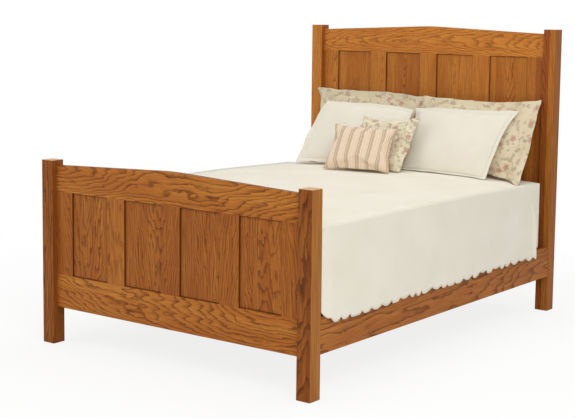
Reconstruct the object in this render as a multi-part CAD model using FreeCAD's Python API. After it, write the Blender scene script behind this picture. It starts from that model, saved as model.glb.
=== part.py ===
import FreeCAD, Part
import math
import os

# A queen panel bed, dressed. X runs across the bed, Y from foot (-Y) to head (+Y), Z up.
# The origin is on the floor under the middle of the bed. Millimetres.

V = FreeCAD.Vector
PICK = 1.0  # how near an edge must lie to be picked for easing, and how far a cutter runs past a face

# ---------------------------------------------------------------- driving dimensions
# Mattress and the room left around it inside the frame
MATTRESS_WIDTH = 1524.0
MATTRESS_LENGTH = 2032.0
MATTRESS_HEIGHT = 268.0
MATTRESS_CORNER = 40.0
SIDE_GAP = 10.0
FOOT_GAP = 10.0
HEAD_GAP = 64.0
REST_GAP = 0.3

# Posts
POST_SIZE = 72.0
FOOT_POST_TOP = 890.0
HEAD_POST_TOP = 1522.0
POST_EASE = 2.5
GLIDE_DIAMETER = 28.0
GLIDE_THICKNESS = 2.0
GLIDE_NAIL_DIAMETER = 3.0
GLIDE_NAIL_LENGTH = 14.0

# Panelled head and foot frames, both of the same stock
FRAME_THICKNESS = 22.0
FOOT_SETBACK = 28.0
HEAD_SETBACK = 26.0
END_STILE_WIDTH = 104.0
MULLION_WIDTH = 108.0
PANEL_COUNT = 4
PANEL_RECESS = 8.0
GROOVE_WIDTH = 8.0
GROOVE_DEPTH = 10.0
PANEL_FLOAT = 1.0
GROOVE_SIDE_PLAY = 0.1
TENON_THICKNESS = 10.0
TENON_LENGTH = 30.0
TENON_SHOULDER = 18.0
MORTISE_PLAY = 0.2
BOTTOM_RAIL_UNDERSIDE = 179.0
BOTTOM_RAIL_HEIGHT = 160.0
FOOT_PANEL_TOP = 741.0
HEAD_PANEL_TOP = 1372.0
TOP_RAIL_END_HEIGHT = 125.0
TOP_RAIL_RISE = 30.0
APEX_BLEND = 60.0
RAIL_EASE = 1.5

# Side rails, cleats, slats
SIDE_RAIL_THICKNESS = 25.0
SIDE_RAIL_HEIGHT = 160.0
SIDE_RAIL_UNDERSIDE = 192.0
SIDE_RAIL_SETBACK = 3.0
CLEAT_WIDTH = 25.0
CLEAT_HEIGHT = 40.0
CLEAT_LIFT = 6.0
CLEAT_END_GAP = 40.0
CLEAT_SCREW_COUNT = 6
SLAT_COUNT = 5
SLAT_WIDTH = 70.0
SLAT_THICKNESS = 19.0
SLAT_END_PLAY = 3.0
SLAT_INSET = 203.0

# Hook-and-slot rail fasteners
HOOK_PLATE_THICKNESS = 3.0
HOOK_PLATE_WIDTH = 18.0
HOOK_PLATE_HEIGHT = 124.0
HOOK_THICKNESS = 3.0
HOOK_REACH = 8.0
HOOK_ARM_HEIGHT = 14.0
HOOK_LIP_DROP = 8.0
HOOK_LIP_THICKNESS = 4.0
HOOK_SPACING = 56.0
SLOT_PLATE_THICKNESS = 2.0
SLOT_PLAY = 0.5
PLATE_SCREW_SPACING = 108.0

# Countersunk screws
SCREW_DIAMETER = 4.0
SCREW_HEAD_DIAMETER = 8.0
SCREW_HEAD_HEIGHT = 2.5
SCREW_PLAY = 0.1
PLATE_SCREW_LENGTH = 20.0
CLEAT_SCREW_LENGTH = 40.0
SLAT_SCREW_LENGTH = 30.0
BRACKET_SCREW_LENGTH = 16.0

# Centre support
BEAM_WIDTH = 40.0
BEAM_HEIGHT = 50.0
BRACKET_SHEET = 2.5
BRACKET_DEPTH = 40.0
BRACKET_CHEEK_HEIGHT = 35.0
BRACKET_EAR = 18.0
BRACKET_BACK_HEIGHT = 55.0
LEG_SIZE = 45.0
LEG_OFFSET = 370.0
LEG_CLEARANCE = 22.0
LEG_DOWEL_DIAMETER = 8.0
LEG_DOWEL_LENGTH = 60.0
LEVELLER_STEM_DIAMETER = 10.0
LEVELLER_STEM_LENGTH = 45.0
LEVELLER_PAD_DIAMETER = 32.0
LEVELLER_PAD_HEIGHT = 8.0
LEVELLER_TRAVEL = 12.0
INSERT_WALL = 2.0
INSERT_LENGTH = 15.0
RUNNING_PLAY = 0.1

# Foundation and coverlet
BOX_SPRING_HEIGHT = 202.0
BOX_SPRING_CORNER = 30.0
CROWN_RISE = 12.0
COVERLET_THICKNESS = 7.0
COVERLET_SHOULDER = 70.0
COVERLET_FLARE = 9.0
COVERLET_RAIL_GAP = 7.0
HEM_OVERLAP = 34.0
SCALLOP_COUNT = 24
SCALLOP_DEPTH = 9.0
COVERLET_CORNER = 80.0
COVERLET_HEAD_SHORT = 14.0
FOOT_TUCK = 250.0
FOOT_TUCK_SIDE_GAP = 12.0

# Pillows: overall size with the flange, loft, lean from upright, and how far the top drifts in X
FLANGE_THICKNESS = 4.0
DRAW_IN = 12.0
SHAM_WIDTH = 730.0
SHAM_HEIGHT = 450.0
SHAM_LOFT = 92.0
SHAM_FLANGE = 45.0
SHAM_LEAN = 22.0
SHAM_DRIFT = 10.0
SHAM_BETWEEN = 10.0
SHAM_GAP = 30.0
PILLOW_WIDTH = 590.0
PILLOW_HEIGHT = 395.0
PILLOW_LOFT = 84.0
PILLOW_FLANGE = 30.0
PILLOW_LEAN = 29.0
PILLOW_DRIFT = 50.0
PILLOW_BETWEEN = 25.0
PILLOW_STEP = 125.0
FLORAL_WIDTH = 387.0
FLORAL_HEIGHT = 350.0
FLORAL_LOFT = 80.0
FLORAL_LEAN = 35.0
FLORAL_X = -82.0
FLORAL_STEP = 120.0
STRIPED_WIDTH = 405.0
STRIPED_HEIGHT = 295.0
STRIPED_LOFT = 66.0
STRIPED_LEAN = 39.0
STRIPED_X = -139.0
STRIPED_DRIFT = -56.0
STRIPED_STEP = 105.0

# ---------------------------------------------------------------- derived places
BED_WIDTH = MATTRESS_WIDTH + 2 * (SIDE_GAP + SIDE_RAIL_THICKNESS + SIDE_RAIL_SETBACK)
BED_LENGTH = MATTRESS_LENGTH + FOOT_GAP + HEAD_GAP + 2 * POST_SIZE
HALF_WIDTH = BED_WIDTH / 2
HALF_LENGTH = BED_LENGTH / 2
POST_INNER_X = HALF_WIDTH - POST_SIZE
POST_INNER_Y = HALF_LENGTH - POST_SIZE
FOOT_FRAME_Y = -HALF_LENGTH + FOOT_SETBACK
HEAD_FRAME_Y = POST_INNER_Y + HEAD_SETBACK
RAIL_OUTER_X = HALF_WIDTH - SIDE_RAIL_SETBACK
RAIL_INNER_X = RAIL_OUTER_X - SIDE_RAIL_THICKNESS
RAIL_CENTRE_X = (RAIL_OUTER_X + RAIL_INNER_X) / 2
RAIL_CENTRE_Z = SIDE_RAIL_UNDERSIDE + SIDE_RAIL_HEIGHT / 2
CLEAT_UNDERSIDE = SIDE_RAIL_UNDERSIDE + CLEAT_LIFT
DECK_UNDERSIDE = CLEAT_UNDERSIDE + CLEAT_HEIGHT
DECK_TOP = DECK_UNDERSIDE + SLAT_THICKNESS
BOX_SPRING_BOTTOM = DECK_TOP + REST_GAP
BOX_SPRING_TOP = BOX_SPRING_BOTTOM + BOX_SPRING_HEIGHT
MATTRESS_BOTTOM = BOX_SPRING_TOP + REST_GAP
MATTRESS_TOP = MATTRESS_BOTTOM + MATTRESS_HEIGHT
MATTRESS_FOOT_Y = -POST_INNER_Y + FOOT_GAP
MATTRESS_HEAD_Y = MATTRESS_FOOT_Y + MATTRESS_LENGTH
COVERLET_INSIDE_TOP = MATTRESS_TOP + REST_GAP
COVERLET_TOP = COVERLET_INSIDE_TOP + COVERLET_THICKNESS
BEAM_UNDERSIDE = DECK_UNDERSIDE - BEAM_HEIGHT
HEM_Z = SIDE_RAIL_UNDERSIDE + SIDE_RAIL_HEIGHT - HEM_OVERLAP
SHAM_Y = HEAD_FRAME_Y - SHAM_GAP - SHAM_HEIGHT * math.sin(math.radians(SHAM_LEAN))
PILLOW_Y = SHAM_Y - PILLOW_STEP
FLORAL_Y = PILLOW_Y - FLORAL_STEP
STRIPED_Y = FLORAL_Y - STRIPED_STEP


# ---------------------------------------------------------------- helpers
def block(x, y, z):
    """A box between the (low, high) pairs x, y and z."""
    return Part.makeBox(x[1] - x[0], y[1] - y[0], z[1] - z[0], V(x[0], y[0], z[0]))


def centred(middle, width):
    """The (low, high) pair of a width about its middle."""
    return (middle - width / 2, middle + width / 2)


def span(a, b):
    """The (low, high) pair of two values in either order."""
    return (min(a, b), max(a, b))


def fuse(shapes):
    """One solid from touching shapes."""
    return shapes[0].multiFuse(shapes[1:]).removeSplitter()


def cut(shape, tools):
    """The shape less all the tools."""
    return shape.cut(Part.makeCompound(tools)) if tools else shape


def edges_along(shape, direction):
    """The straight edges that run along a direction."""
    found = []
    for edge in shape.Edges:
        run = edge.lastVertex().Point - edge.firstVertex().Point
        if run.Length > 0 and abs(run.normalize().dot(direction)) > 0.999:
            found.append(edge)
    return found


def prism(points, run):
    """A straight prism on a closed polygon."""
    return Part.Face(Part.makePolygon(points + [points[0]])).extrude(run)


def save(name, shapes):
    """Write one node, from a solid or a list of separate solids."""
    group = shapes if isinstance(shapes, list) else [shapes]
    solids = [solid for shape in group for solid in shape.Solids]
    shape = solids[0] if len(solids) == 1 else Part.makeCompound(solids)
    shape.exportStep("parts/" + name + ".step")


def mirror_x(shape):
    """The same piece on the other side of the bed."""
    return shape.mirror(V(0, 0, 0), V(1, 0, 0))


def screw(head, direction, length, play=0.0):
    """A countersunk screw whose head is flush at a point, driven along a direction."""
    radius = SCREW_DIAMETER / 2 + play
    cone = Part.makeCone(SCREW_HEAD_DIAMETER / 2 + play, radius, SCREW_HEAD_HEIGHT, head, direction)
    shank = Part.makeCylinder(radius, length + play, head, direction)
    return fuse([cone, shank])


def screw_holes(heads, direction, length):
    """Cutting tools for a list of screw heads."""
    return [screw(head, direction, length, SCREW_PLAY) for head in heads]


# ---------------------------------------------------------------- panelled end frames
def crown_profile(y, z_low, z_end):
    """Outline of a top rail: two straight slopes that meet in a softly rounded middle."""
    half = POST_INNER_X
    slope = math.atan(TOP_RAIL_RISE / half)
    blend_z = z_end + TOP_RAIL_RISE * (1 - APEX_BLEND / half)
    radius = APEX_BLEND / math.sin(slope)
    peak_z = blend_z + radius * (1 - math.cos(slope))
    left_blend = V(-APEX_BLEND, y, blend_z)
    right_blend = V(APEX_BLEND, y, blend_z)
    return Part.Wire([
        Part.LineSegment(V(half, y, z_end), V(half, y, z_low)).toShape(),
        Part.LineSegment(V(half, y, z_low), V(-half, y, z_low)).toShape(),
        Part.LineSegment(V(-half, y, z_low), V(-half, y, z_end)).toShape(),
        Part.LineSegment(V(-half, y, z_end), left_blend).toShape(),
        Part.Arc(left_blend, V(0, y, peak_z), right_blend).toShape(),
        Part.LineSegment(right_blend, V(half, y, z_end)).toShape(),
    ])


def tenon_y(frame_y, play=0.0):
    """Thickness span of a tenon, centred in the frame stock."""
    return centred(frame_y + FRAME_THICKNESS / 2, TENON_THICKNESS + 2 * play)


def groove_y(frame_y, play=0.0):
    """Thickness span of the panel groove, or of a tongue in it."""
    low = frame_y + PANEL_RECESS
    return (low + play, low + GROOVE_WIDTH - play)


def tenon_z(z_low, z_high):
    """Height span of a tenon between its shoulders."""
    return (z_low + TENON_SHOULDER, z_high - TENON_SHOULDER)


def tenons(frame_y, z_low, z_high, play=0.0):
    """The pair of tenons of a rail, or with play the mortises for them."""
    heights = tenon_z(z_low, z_high)
    pair = []
    for side in (-1, 1):
        root = side * (POST_INNER_X - (0 if play else RAIL_EASE))
        tip = side * (POST_INNER_X + TENON_LENGTH + play)
        pair.append(block(span(root, tip), tenon_y(frame_y, play), (heights[0] - play, heights[1] + play)))
    return pair


def member_columns():
    """X spans of the upright members and of the clear panel openings, from left to right."""
    clear = 2 * POST_INNER_X - 2 * END_STILE_WIDTH - (PANEL_COUNT - 1) * MULLION_WIDTH
    opening = clear / PANEL_COUNT
    members = []
    openings = []
    x = -POST_INNER_X
    for index in range(PANEL_COUNT + 1):
        width = END_STILE_WIDTH if index in (0, PANEL_COUNT) else MULLION_WIDTH
        members.append((x, x + width))
        x += width
        if index < PANEL_COUNT:
            openings.append((x, x + opening))
            x += opening
    return members, openings


def top_rail(frame_y, panel_top):
    """Crowned top rail with its tenons and the panel groove along its underside."""
    z_end = panel_top + TOP_RAIL_END_HEIGHT
    body = Part.Face(crown_profile(frame_y, panel_top, z_end)).extrude(V(0, FRAME_THICKNESS, 0))
    crest = [edge for edge in body.Edges
             if edge.BoundBox.ZMin > z_end - PICK and edge.BoundBox.YLength < PICK]
    body = body.makeFillet(RAIL_EASE, crest)
    body = fuse([body] + tenons(frame_y, panel_top, z_end))
    groove = block((-POST_INNER_X, POST_INNER_X), groove_y(frame_y), (panel_top, panel_top + GROOVE_DEPTH))
    return cut(body, [groove])


def bottom_rail(frame_y, end):
    """Straight bottom rail with its tenons, the panel groove along its top and the bracket screws' holes."""
    top = BOTTOM_RAIL_UNDERSIDE + BOTTOM_RAIL_HEIGHT
    body = block((-POST_INNER_X, POST_INNER_X), (frame_y, frame_y + FRAME_THICKNESS),
                 (BOTTOM_RAIL_UNDERSIDE, top))
    lower = [edge for edge in edges_along(body, V(1, 0, 0)) if edge.BoundBox.ZMax < top - PICK]
    body = body.makeFillet(RAIL_EASE, lower)
    body = fuse([body] + tenons(frame_y, BOTTOM_RAIL_UNDERSIDE, top))
    groove = block((-POST_INNER_X, POST_INNER_X), groove_y(frame_y), (top - GROOVE_DEPTH, top))
    return cut(body, [groove] + screw_holes(bracket_screw_heads(end), V(0, end, 0), BRACKET_SCREW_LENGTH))


def upright(frame_y, x_span, z_low, z_high, grooved_sides):
    """A stile or mullion with stub tongues at both ends and grooves on the sides that hold a panel."""
    tongue = GROOVE_DEPTH - PANEL_FLOAT
    body = fuse([
        block(x_span, (frame_y, frame_y + FRAME_THICKNESS), (z_low, z_high)),
        block(x_span, groove_y(frame_y, GROOVE_SIDE_PLAY), (z_low - tongue, z_high + tongue)),
    ])
    grooves = []
    for side in grooved_sides:
        edge_x = x_span[0] if side < 0 else x_span[1]
        grooves.append(block(span(edge_x, edge_x - side * GROOVE_DEPTH), groove_y(frame_y),
                             (z_low - tongue, z_high + tongue)))
    return cut(body, grooves)


def flat_panel(frame_y, x_span, z_low, z_high):
    """A flat panel that floats in the grooves on all four sides."""
    tongue = GROOVE_DEPTH - PANEL_FLOAT
    return block((x_span[0] - tongue, x_span[1] + tongue), groove_y(frame_y, GROOVE_SIDE_PLAY),
                 (z_low - tongue, z_high + tongue))


def end_frame(name, end, frame_y, panel_top):
    """Rails, stiles, mullions and panels of the footboard (-1) or the headboard (1)."""
    z_low = BOTTOM_RAIL_UNDERSIDE + BOTTOM_RAIL_HEIGHT
    members, openings = member_columns()
    save(name + "_top_rail", top_rail(frame_y, panel_top))
    save(name + "_bottom_rail", bottom_rail(frame_y, end))
    for index, x_span in enumerate(members):
        if index == 0:
            save(name + "_stile_left", upright(frame_y, x_span, z_low, panel_top, (1,)))
        elif index == PANEL_COUNT:
            save(name + "_stile_right", upright(frame_y, x_span, z_low, panel_top, (-1,)))
        else:
            save("%s_mullion_%d" % (name, index), upright(frame_y, x_span, z_low, panel_top, (-1, 1)))
    for index, x_span in enumerate(openings):
        save("%s_panel_%d" % (name, index + 1), flat_panel(frame_y, x_span, z_low, panel_top))


# ---------------------------------------------------------------- rail fasteners
def hook_heights():
    """Underside of each hook's arm, which is the bottom of its slot."""
    return [RAIL_CENTRE_Z - HOOK_SPACING / 2 - HOOK_ARM_HEIGHT / 2,
            RAIL_CENTRE_Z + HOOK_SPACING / 2 - HOOK_ARM_HEIGHT / 2]


def hook_plate(end):
    """Steel plate let into the right rail's end at the foot (-1) or head (1), with two hooks."""
    face = end * POST_INNER_Y
    inside = SLOT_PLATE_THICKNESS + SLOT_PLAY
    plate = block(centred(RAIL_CENTRE_X, HOOK_PLATE_WIDTH), span(face - end * HOOK_PLATE_THICKNESS, face),
                  centred(RAIL_CENTRE_Z, HOOK_PLATE_HEIGHT))
    pieces = [plate]
    for z in hook_heights():
        pieces.append(block(centred(RAIL_CENTRE_X, HOOK_THICKNESS),
                            span(face - end * HOOK_PLATE_THICKNESS, face + end * HOOK_REACH),
                            (z, z + HOOK_ARM_HEIGHT)))
        pieces.append(block(centred(RAIL_CENTRE_X, HOOK_THICKNESS),
                            span(face + end * inside, face + end * (inside + HOOK_LIP_THICKNESS)),
                            (z - HOOK_LIP_DROP, z + HOOK_ARM_HEIGHT)))
    return cut(fuse(pieces), screw_holes(plate_screw_heads(end), V(0, -end, 0), PLATE_SCREW_LENGTH))


def slot_plate(end):
    """Steel plate let into the post's face, with a slot for each hook."""
    face = end * POST_INNER_Y
    plate = block(centred(RAIL_CENTRE_X, HOOK_PLATE_WIDTH), span(face, face + end * SLOT_PLATE_THICKNESS),
                  centred(RAIL_CENTRE_Z, HOOK_PLATE_HEIGHT))
    slots = [block(centred(RAIL_CENTRE_X, HOOK_THICKNESS + 2 * SLOT_PLAY),
                   span(face, face + end * SLOT_PLATE_THICKNESS),
                   (z, z + HOOK_ARM_HEIGHT + HOOK_LIP_DROP + SLOT_PLAY)) for z in hook_heights()]
    return cut(plate, slots + screw_holes(plate_screw_heads(end), V(0, end, 0), PLATE_SCREW_LENGTH))


def plate_screw_heads(end):
    """Screw heads of both plates, where rail and post meet: one set turned each way."""
    low = RAIL_CENTRE_Z - PLATE_SCREW_SPACING / 2
    high = RAIL_CENTRE_Z + PLATE_SCREW_SPACING / 2
    return [V(RAIL_CENTRE_X, end * POST_INNER_Y, z) for z in (low, high)]


def slot_pockets(end):
    """Recess for the slot plate and the pockets behind it that the hooks drop into."""
    face = end * POST_INNER_Y
    depth = SLOT_PLATE_THICKNESS + HOOK_REACH + SLOT_PLAY
    pockets = [block(centred(RAIL_CENTRE_X, HOOK_PLATE_WIDTH), span(face, face + end * SLOT_PLATE_THICKNESS),
                     centred(RAIL_CENTRE_Z, HOOK_PLATE_HEIGHT))]
    for z in hook_heights():
        pockets.append(block(centred(RAIL_CENTRE_X, HOOK_THICKNESS + 2 * SLOT_PLAY),
                             span(face, face + end * depth),
                             (z - HOOK_LIP_DROP - SLOT_PLAY,
                              z + HOOK_ARM_HEIGHT + HOOK_LIP_DROP + SLOT_PLAY)))
    return pockets


# ---------------------------------------------------------------- posts
def post(end, top, frame_y, panel_top):
    """Right-hand post at the foot (-1) or head (1)."""
    y = span(end * POST_INNER_Y, end * HALF_LENGTH)
    body = block((POST_INNER_X, HALF_WIDTH), y, (GLIDE_THICKNESS, top))
    eased = edges_along(body, V(0, 0, 1)) + [edge for edge in body.Edges if edge.BoundBox.ZMin > top - PICK]
    body = body.makeFillet(POST_EASE, eased)
    rail_top = BOTTOM_RAIL_UNDERSIDE + BOTTOM_RAIL_HEIGHT
    tools = tenons(frame_y, BOTTOM_RAIL_UNDERSIDE, rail_top, MORTISE_PLAY)
    tools += tenons(frame_y, panel_top, panel_top + TOP_RAIL_END_HEIGHT, MORTISE_PLAY)
    tools += slot_pockets(end)
    tools += screw_holes(plate_screw_heads(end), V(0, end, 0), PLATE_SCREW_LENGTH)
    tools.append(glide_nail(end, SCREW_PLAY))
    return cut(body, tools)


def glide_centre(end):
    """Middle of the right-hand post's foot on the floor."""
    return V(POST_INNER_X + POST_SIZE / 2, end * (POST_INNER_Y + POST_SIZE / 2), 0)


def glide_nail(end, play=0.0):
    """Nail of a glide, or with play its hole in the post."""
    return Part.makeCylinder(GLIDE_NAIL_DIAMETER / 2 + play, GLIDE_NAIL_LENGTH + play, glide_centre(end))


def post_glide(end):
    """Round nail-on glide under the right-hand post."""
    return fuse([Part.makeCylinder(GLIDE_DIAMETER / 2, GLIDE_THICKNESS, glide_centre(end)), glide_nail(end)])


# ---------------------------------------------------------------- rails, cleats, slats
def side_rail():
    """Right side rail with recesses for the hook plates and holes for the cleat screws."""
    body = block((RAIL_INNER_X, RAIL_OUTER_X), (-POST_INNER_Y, POST_INNER_Y),
                 (SIDE_RAIL_UNDERSIDE, SIDE_RAIL_UNDERSIDE + SIDE_RAIL_HEIGHT))
    body = body.makeFillet(RAIL_EASE, edges_along(body, V(0, 1, 0)))
    tools = screw_holes(cleat_screw_heads(), V(1, 0, 0), CLEAT_SCREW_LENGTH)
    for end in (-1, 1):
        face = end * POST_INNER_Y
        tools.append(block(centred(RAIL_CENTRE_X, HOOK_PLATE_WIDTH),
                           span(face - end * HOOK_PLATE_THICKNESS, face),
                           centred(RAIL_CENTRE_Z, HOOK_PLATE_HEIGHT)))
        tools += screw_holes(plate_screw_heads(end), V(0, -end, 0), PLATE_SCREW_LENGTH)
    return cut(body, tools)


def cleat_screw_heads():
    """Heads of the screws that hold the right cleat, flush with its inner face."""
    length = 2 * (POST_INNER_Y - CLEAT_END_GAP)
    step = length / CLEAT_SCREW_COUNT
    first = -length / 2 + step / 2
    height = CLEAT_UNDERSIDE + CLEAT_HEIGHT / 2
    return [V(RAIL_INNER_X - CLEAT_WIDTH, first + step * index, height) for index in range(CLEAT_SCREW_COUNT)]


def cleat():
    """Right cleat, glued and screwed along the inside of the rail."""
    reach = POST_INNER_Y - CLEAT_END_GAP
    body = block((RAIL_INNER_X - CLEAT_WIDTH, RAIL_INNER_X), (-reach, reach),
                 (CLEAT_UNDERSIDE, DECK_UNDERSIDE))
    tools = screw_holes(cleat_screw_heads(), V(1, 0, 0), CLEAT_SCREW_LENGTH)
    for y in slat_places():
        tools += screw_holes(slat_screw_heads(y)[1:], V(0, 0, -1), SLAT_SCREW_LENGTH)
    return cut(body, tools)


def slat_places():
    """Middle of each slat along the bed."""
    field = 2 * (POST_INNER_Y - SLAT_INSET)
    step = field / (SLAT_COUNT - 1)
    return [-field / 2 + step * index for index in range(SLAT_COUNT)]


def slat_screw_heads(y):
    """The left and right screw heads of the slat at y, over the middle of each cleat."""
    x = RAIL_INNER_X - CLEAT_WIDTH / 2
    return [V(-x, y, DECK_TOP), V(x, y, DECK_TOP)]


def slat(y):
    """One slat across both cleats and the centre beam."""
    reach = RAIL_INNER_X - SLAT_END_PLAY
    body = block((-reach, reach), centred(y, SLAT_WIDTH), (DECK_UNDERSIDE, DECK_TOP))
    return cut(body, screw_holes(slat_screw_heads(y), V(0, 0, -1), SLAT_SCREW_LENGTH))


# ---------------------------------------------------------------- centre support
def frame_inner_face(end):
    """The face of the footboard (-1) or headboard (1) that looks into the bed."""
    return FOOT_FRAME_Y + FRAME_THICKNESS if end < 0 else HEAD_FRAME_Y


def centre_beam():
    """Beam under the slats, from bracket to bracket."""
    y = (frame_inner_face(-1) + BRACKET_SHEET, frame_inner_face(1) - BRACKET_SHEET)
    body = block(centred(0, BEAM_WIDTH), y, (BEAM_UNDERSIDE, DECK_UNDERSIDE))
    return cut(body, [leg_dowel(side, SCREW_PLAY) for side in (-1, 1)])


def beam_bracket(end):
    """Steel seat for one end of the beam, screwed to the bottom rail."""
    face = frame_inner_face(end)
    outside = BEAM_WIDTH + 2 * BRACKET_SHEET
    low = BEAM_UNDERSIDE - BRACKET_SHEET
    depth = span(face, face - end * BRACKET_DEPTH)
    pieces = [
        block(centred(0, outside + 2 * BRACKET_EAR), span(face, face - end * BRACKET_SHEET),
              (low, low + BRACKET_BACK_HEIGHT)),
        block(centred(0, outside), depth, (low, BEAM_UNDERSIDE)),
    ]
    for side in (-1, 1):
        cheek = span(side * BEAM_WIDTH / 2, side * outside / 2)
        pieces.append(block(cheek, depth, (low, low + BRACKET_CHEEK_HEIGHT)))
    return cut(fuse(pieces), screw_holes(bracket_screw_heads(end), V(0, end, 0), BRACKET_SCREW_LENGTH))


def bracket_screw_heads(end):
    """Screw heads of a beam bracket, flush with its ears."""
    x = BEAM_WIDTH / 2 + BRACKET_SHEET + BRACKET_EAR / 2
    y = frame_inner_face(end) - end * BRACKET_SHEET
    z = BEAM_UNDERSIDE - BRACKET_SHEET + BRACKET_BACK_HEIGHT / 2
    return [V(-x, y, z), V(x, y, z)]


def leg_axis(side, z):
    """A point on the axis of the centre leg towards the foot (-1) or head (1)."""
    return V(0, side * LEG_OFFSET, z)


def leg_dowel(side, play=0.0):
    """Dowel screw that joins a leg to the beam, or with play its hole."""
    low = BEAM_UNDERSIDE - LEG_DOWEL_LENGTH / 2 - play
    return Part.makeCylinder(LEG_DOWEL_DIAMETER / 2 + play, LEG_DOWEL_LENGTH + 2 * play, leg_axis(side, low))


def centre_leg(side):
    """Square leg under the beam, bored for its insert and leveller."""
    y = side * LEG_OFFSET
    body = block(centred(0, LEG_SIZE), centred(y, LEG_SIZE), (LEG_CLEARANCE, BEAM_UNDERSIDE))
    body = body.makeFillet(RAIL_EASE, edges_along(body, V(0, 0, 1)))
    bore_top = LEVELLER_PAD_HEIGHT + LEVELLER_STEM_LENGTH + LEVELLER_TRAVEL + LEG_DOWEL_DIAMETER / 2
    stem_radius = LEVELLER_STEM_DIAMETER / 2 + RUNNING_PLAY
    return cut(body, [
        Part.makeCylinder(stem_radius, bore_top - LEG_CLEARANCE, leg_axis(side, LEG_CLEARANCE)),
        Part.makeCylinder(stem_radius + INSERT_WALL, INSERT_LENGTH, leg_axis(side, LEG_CLEARANCE)),
        leg_dowel(side, SCREW_PLAY),
    ])


def leg_insert(side):
    """Threaded insert in the foot of a leg."""
    stem_radius = LEVELLER_STEM_DIAMETER / 2 + RUNNING_PLAY
    outer = Part.makeCylinder(stem_radius + INSERT_WALL, INSERT_LENGTH, leg_axis(side, LEG_CLEARANCE))
    return outer.cut(Part.makeCylinder(stem_radius, INSERT_LENGTH, leg_axis(side, LEG_CLEARANCE)))


def leveller(side):
    """Screw foot of a leg: a pad on the floor and its stem."""
    pad = Part.makeCylinder(LEVELLER_PAD_DIAMETER / 2, LEVELLER_PAD_HEIGHT, leg_axis(side, 0))
    rim = [edge for edge in pad.Edges if edge.BoundBox.ZMin > LEVELLER_PAD_HEIGHT - PICK]
    pad = pad.makeFillet(RAIL_EASE, rim)
    stem = Part.makeCylinder(LEVELLER_STEM_DIAMETER / 2, LEVELLER_STEM_LENGTH,
                             leg_axis(side, LEVELLER_PAD_HEIGHT))
    return fuse([pad, stem])


# ---------------------------------------------------------------- foundation, mattress, coverlet
def crown(x, top):
    """Height of the softly crowned bed top at x, for a surface whose middle is at top."""
    return top - CROWN_RISE * (x / (MATTRESS_WIDTH / 2)) ** 2


def box_spring():
    """Fabric-covered foundation on the slats."""
    body = block(centred(0, MATTRESS_WIDTH), (MATTRESS_FOOT_Y, MATTRESS_HEAD_Y),
                 (BOX_SPRING_BOTTOM, BOX_SPRING_TOP))
    return body.makeFillet(BOX_SPRING_CORNER, edges_along(body, V(0, 0, 1)))


def mattress():
    """Mattress with a crowned top, rounded long edges and rounded corners."""
    half = MATTRESS_WIDTH / 2
    inner = half - MATTRESS_CORNER
    low = MATTRESS_BOTTOM
    edge_z = crown(inner, MATTRESS_TOP)
    turn = MATTRESS_CORNER * (1 - math.sqrt(0.5))
    y = MATTRESS_FOOT_Y

    def corner(start, middle, end):
        return Part.Arc(V(*start), V(*middle), V(*end)).toShape()

    def line(start, end):
        return Part.LineSegment(V(*start), V(*end)).toShape()

    outline = Part.Wire([
        corner((-inner, y, edge_z), (0, y, MATTRESS_TOP), (inner, y, edge_z)),
        corner((inner, y, edge_z), (half - turn, y, edge_z - turn), (half, y, edge_z - MATTRESS_CORNER)),
        line((half, y, edge_z - MATTRESS_CORNER), (half, y, low + MATTRESS_CORNER)),
        corner((half, y, low + MATTRESS_CORNER), (half - turn, y, low + turn), (inner, y, low)),
        line((inner, y, low), (-inner, y, low)),
        corner((-inner, y, low), (-half + turn, y, low + turn), (-half, y, low + MATTRESS_CORNER)),
        line((-half, y, low + MATTRESS_CORNER), (-half, y, edge_z - MATTRESS_CORNER)),
        corner((-half, y, edge_z - MATTRESS_CORNER), (-half + turn, y, edge_z - turn), (-inner, y, edge_z)),
    ])
    return Part.Face(outline).extrude(V(0, MATTRESS_LENGTH, 0))


def drape_section(inset, y, bottom):
    """Closed section across the coverlet, drawn inset from its outer face."""
    side_low = RAIL_OUTER_X + COVERLET_RAIL_GAP + COVERLET_THICKNESS - inset
    side_high = side_low - COVERLET_FLARE
    shoulder = COVERLET_SHOULDER - inset
    shelf = side_high - shoulder
    shelf_z = crown(shelf, COVERLET_TOP) - inset
    fall_z = shelf_z - shoulder
    turn = shoulder * (1 - math.sqrt(0.5))
    middle_z = COVERLET_TOP - inset
    return Part.Wire([
        Part.Arc(V(-shelf, y, shelf_z), V(0, y, middle_z), V(shelf, y, shelf_z)).toShape(),
        Part.Arc(V(shelf, y, shelf_z), V(side_high - turn, y, shelf_z - turn),
                 V(side_high, y, fall_z)).toShape(),
        Part.LineSegment(V(side_high, y, fall_z), V(side_low, y, bottom)).toShape(),
        Part.LineSegment(V(side_low, y, bottom), V(-side_low, y, bottom)).toShape(),
        Part.LineSegment(V(-side_low, y, bottom), V(-side_high, y, fall_z)).toShape(),
        Part.Arc(V(-side_high, y, fall_z), V(-side_high + turn, y, shelf_z - turn),
                 V(-shelf, y, shelf_z)).toShape(),
    ])


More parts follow.
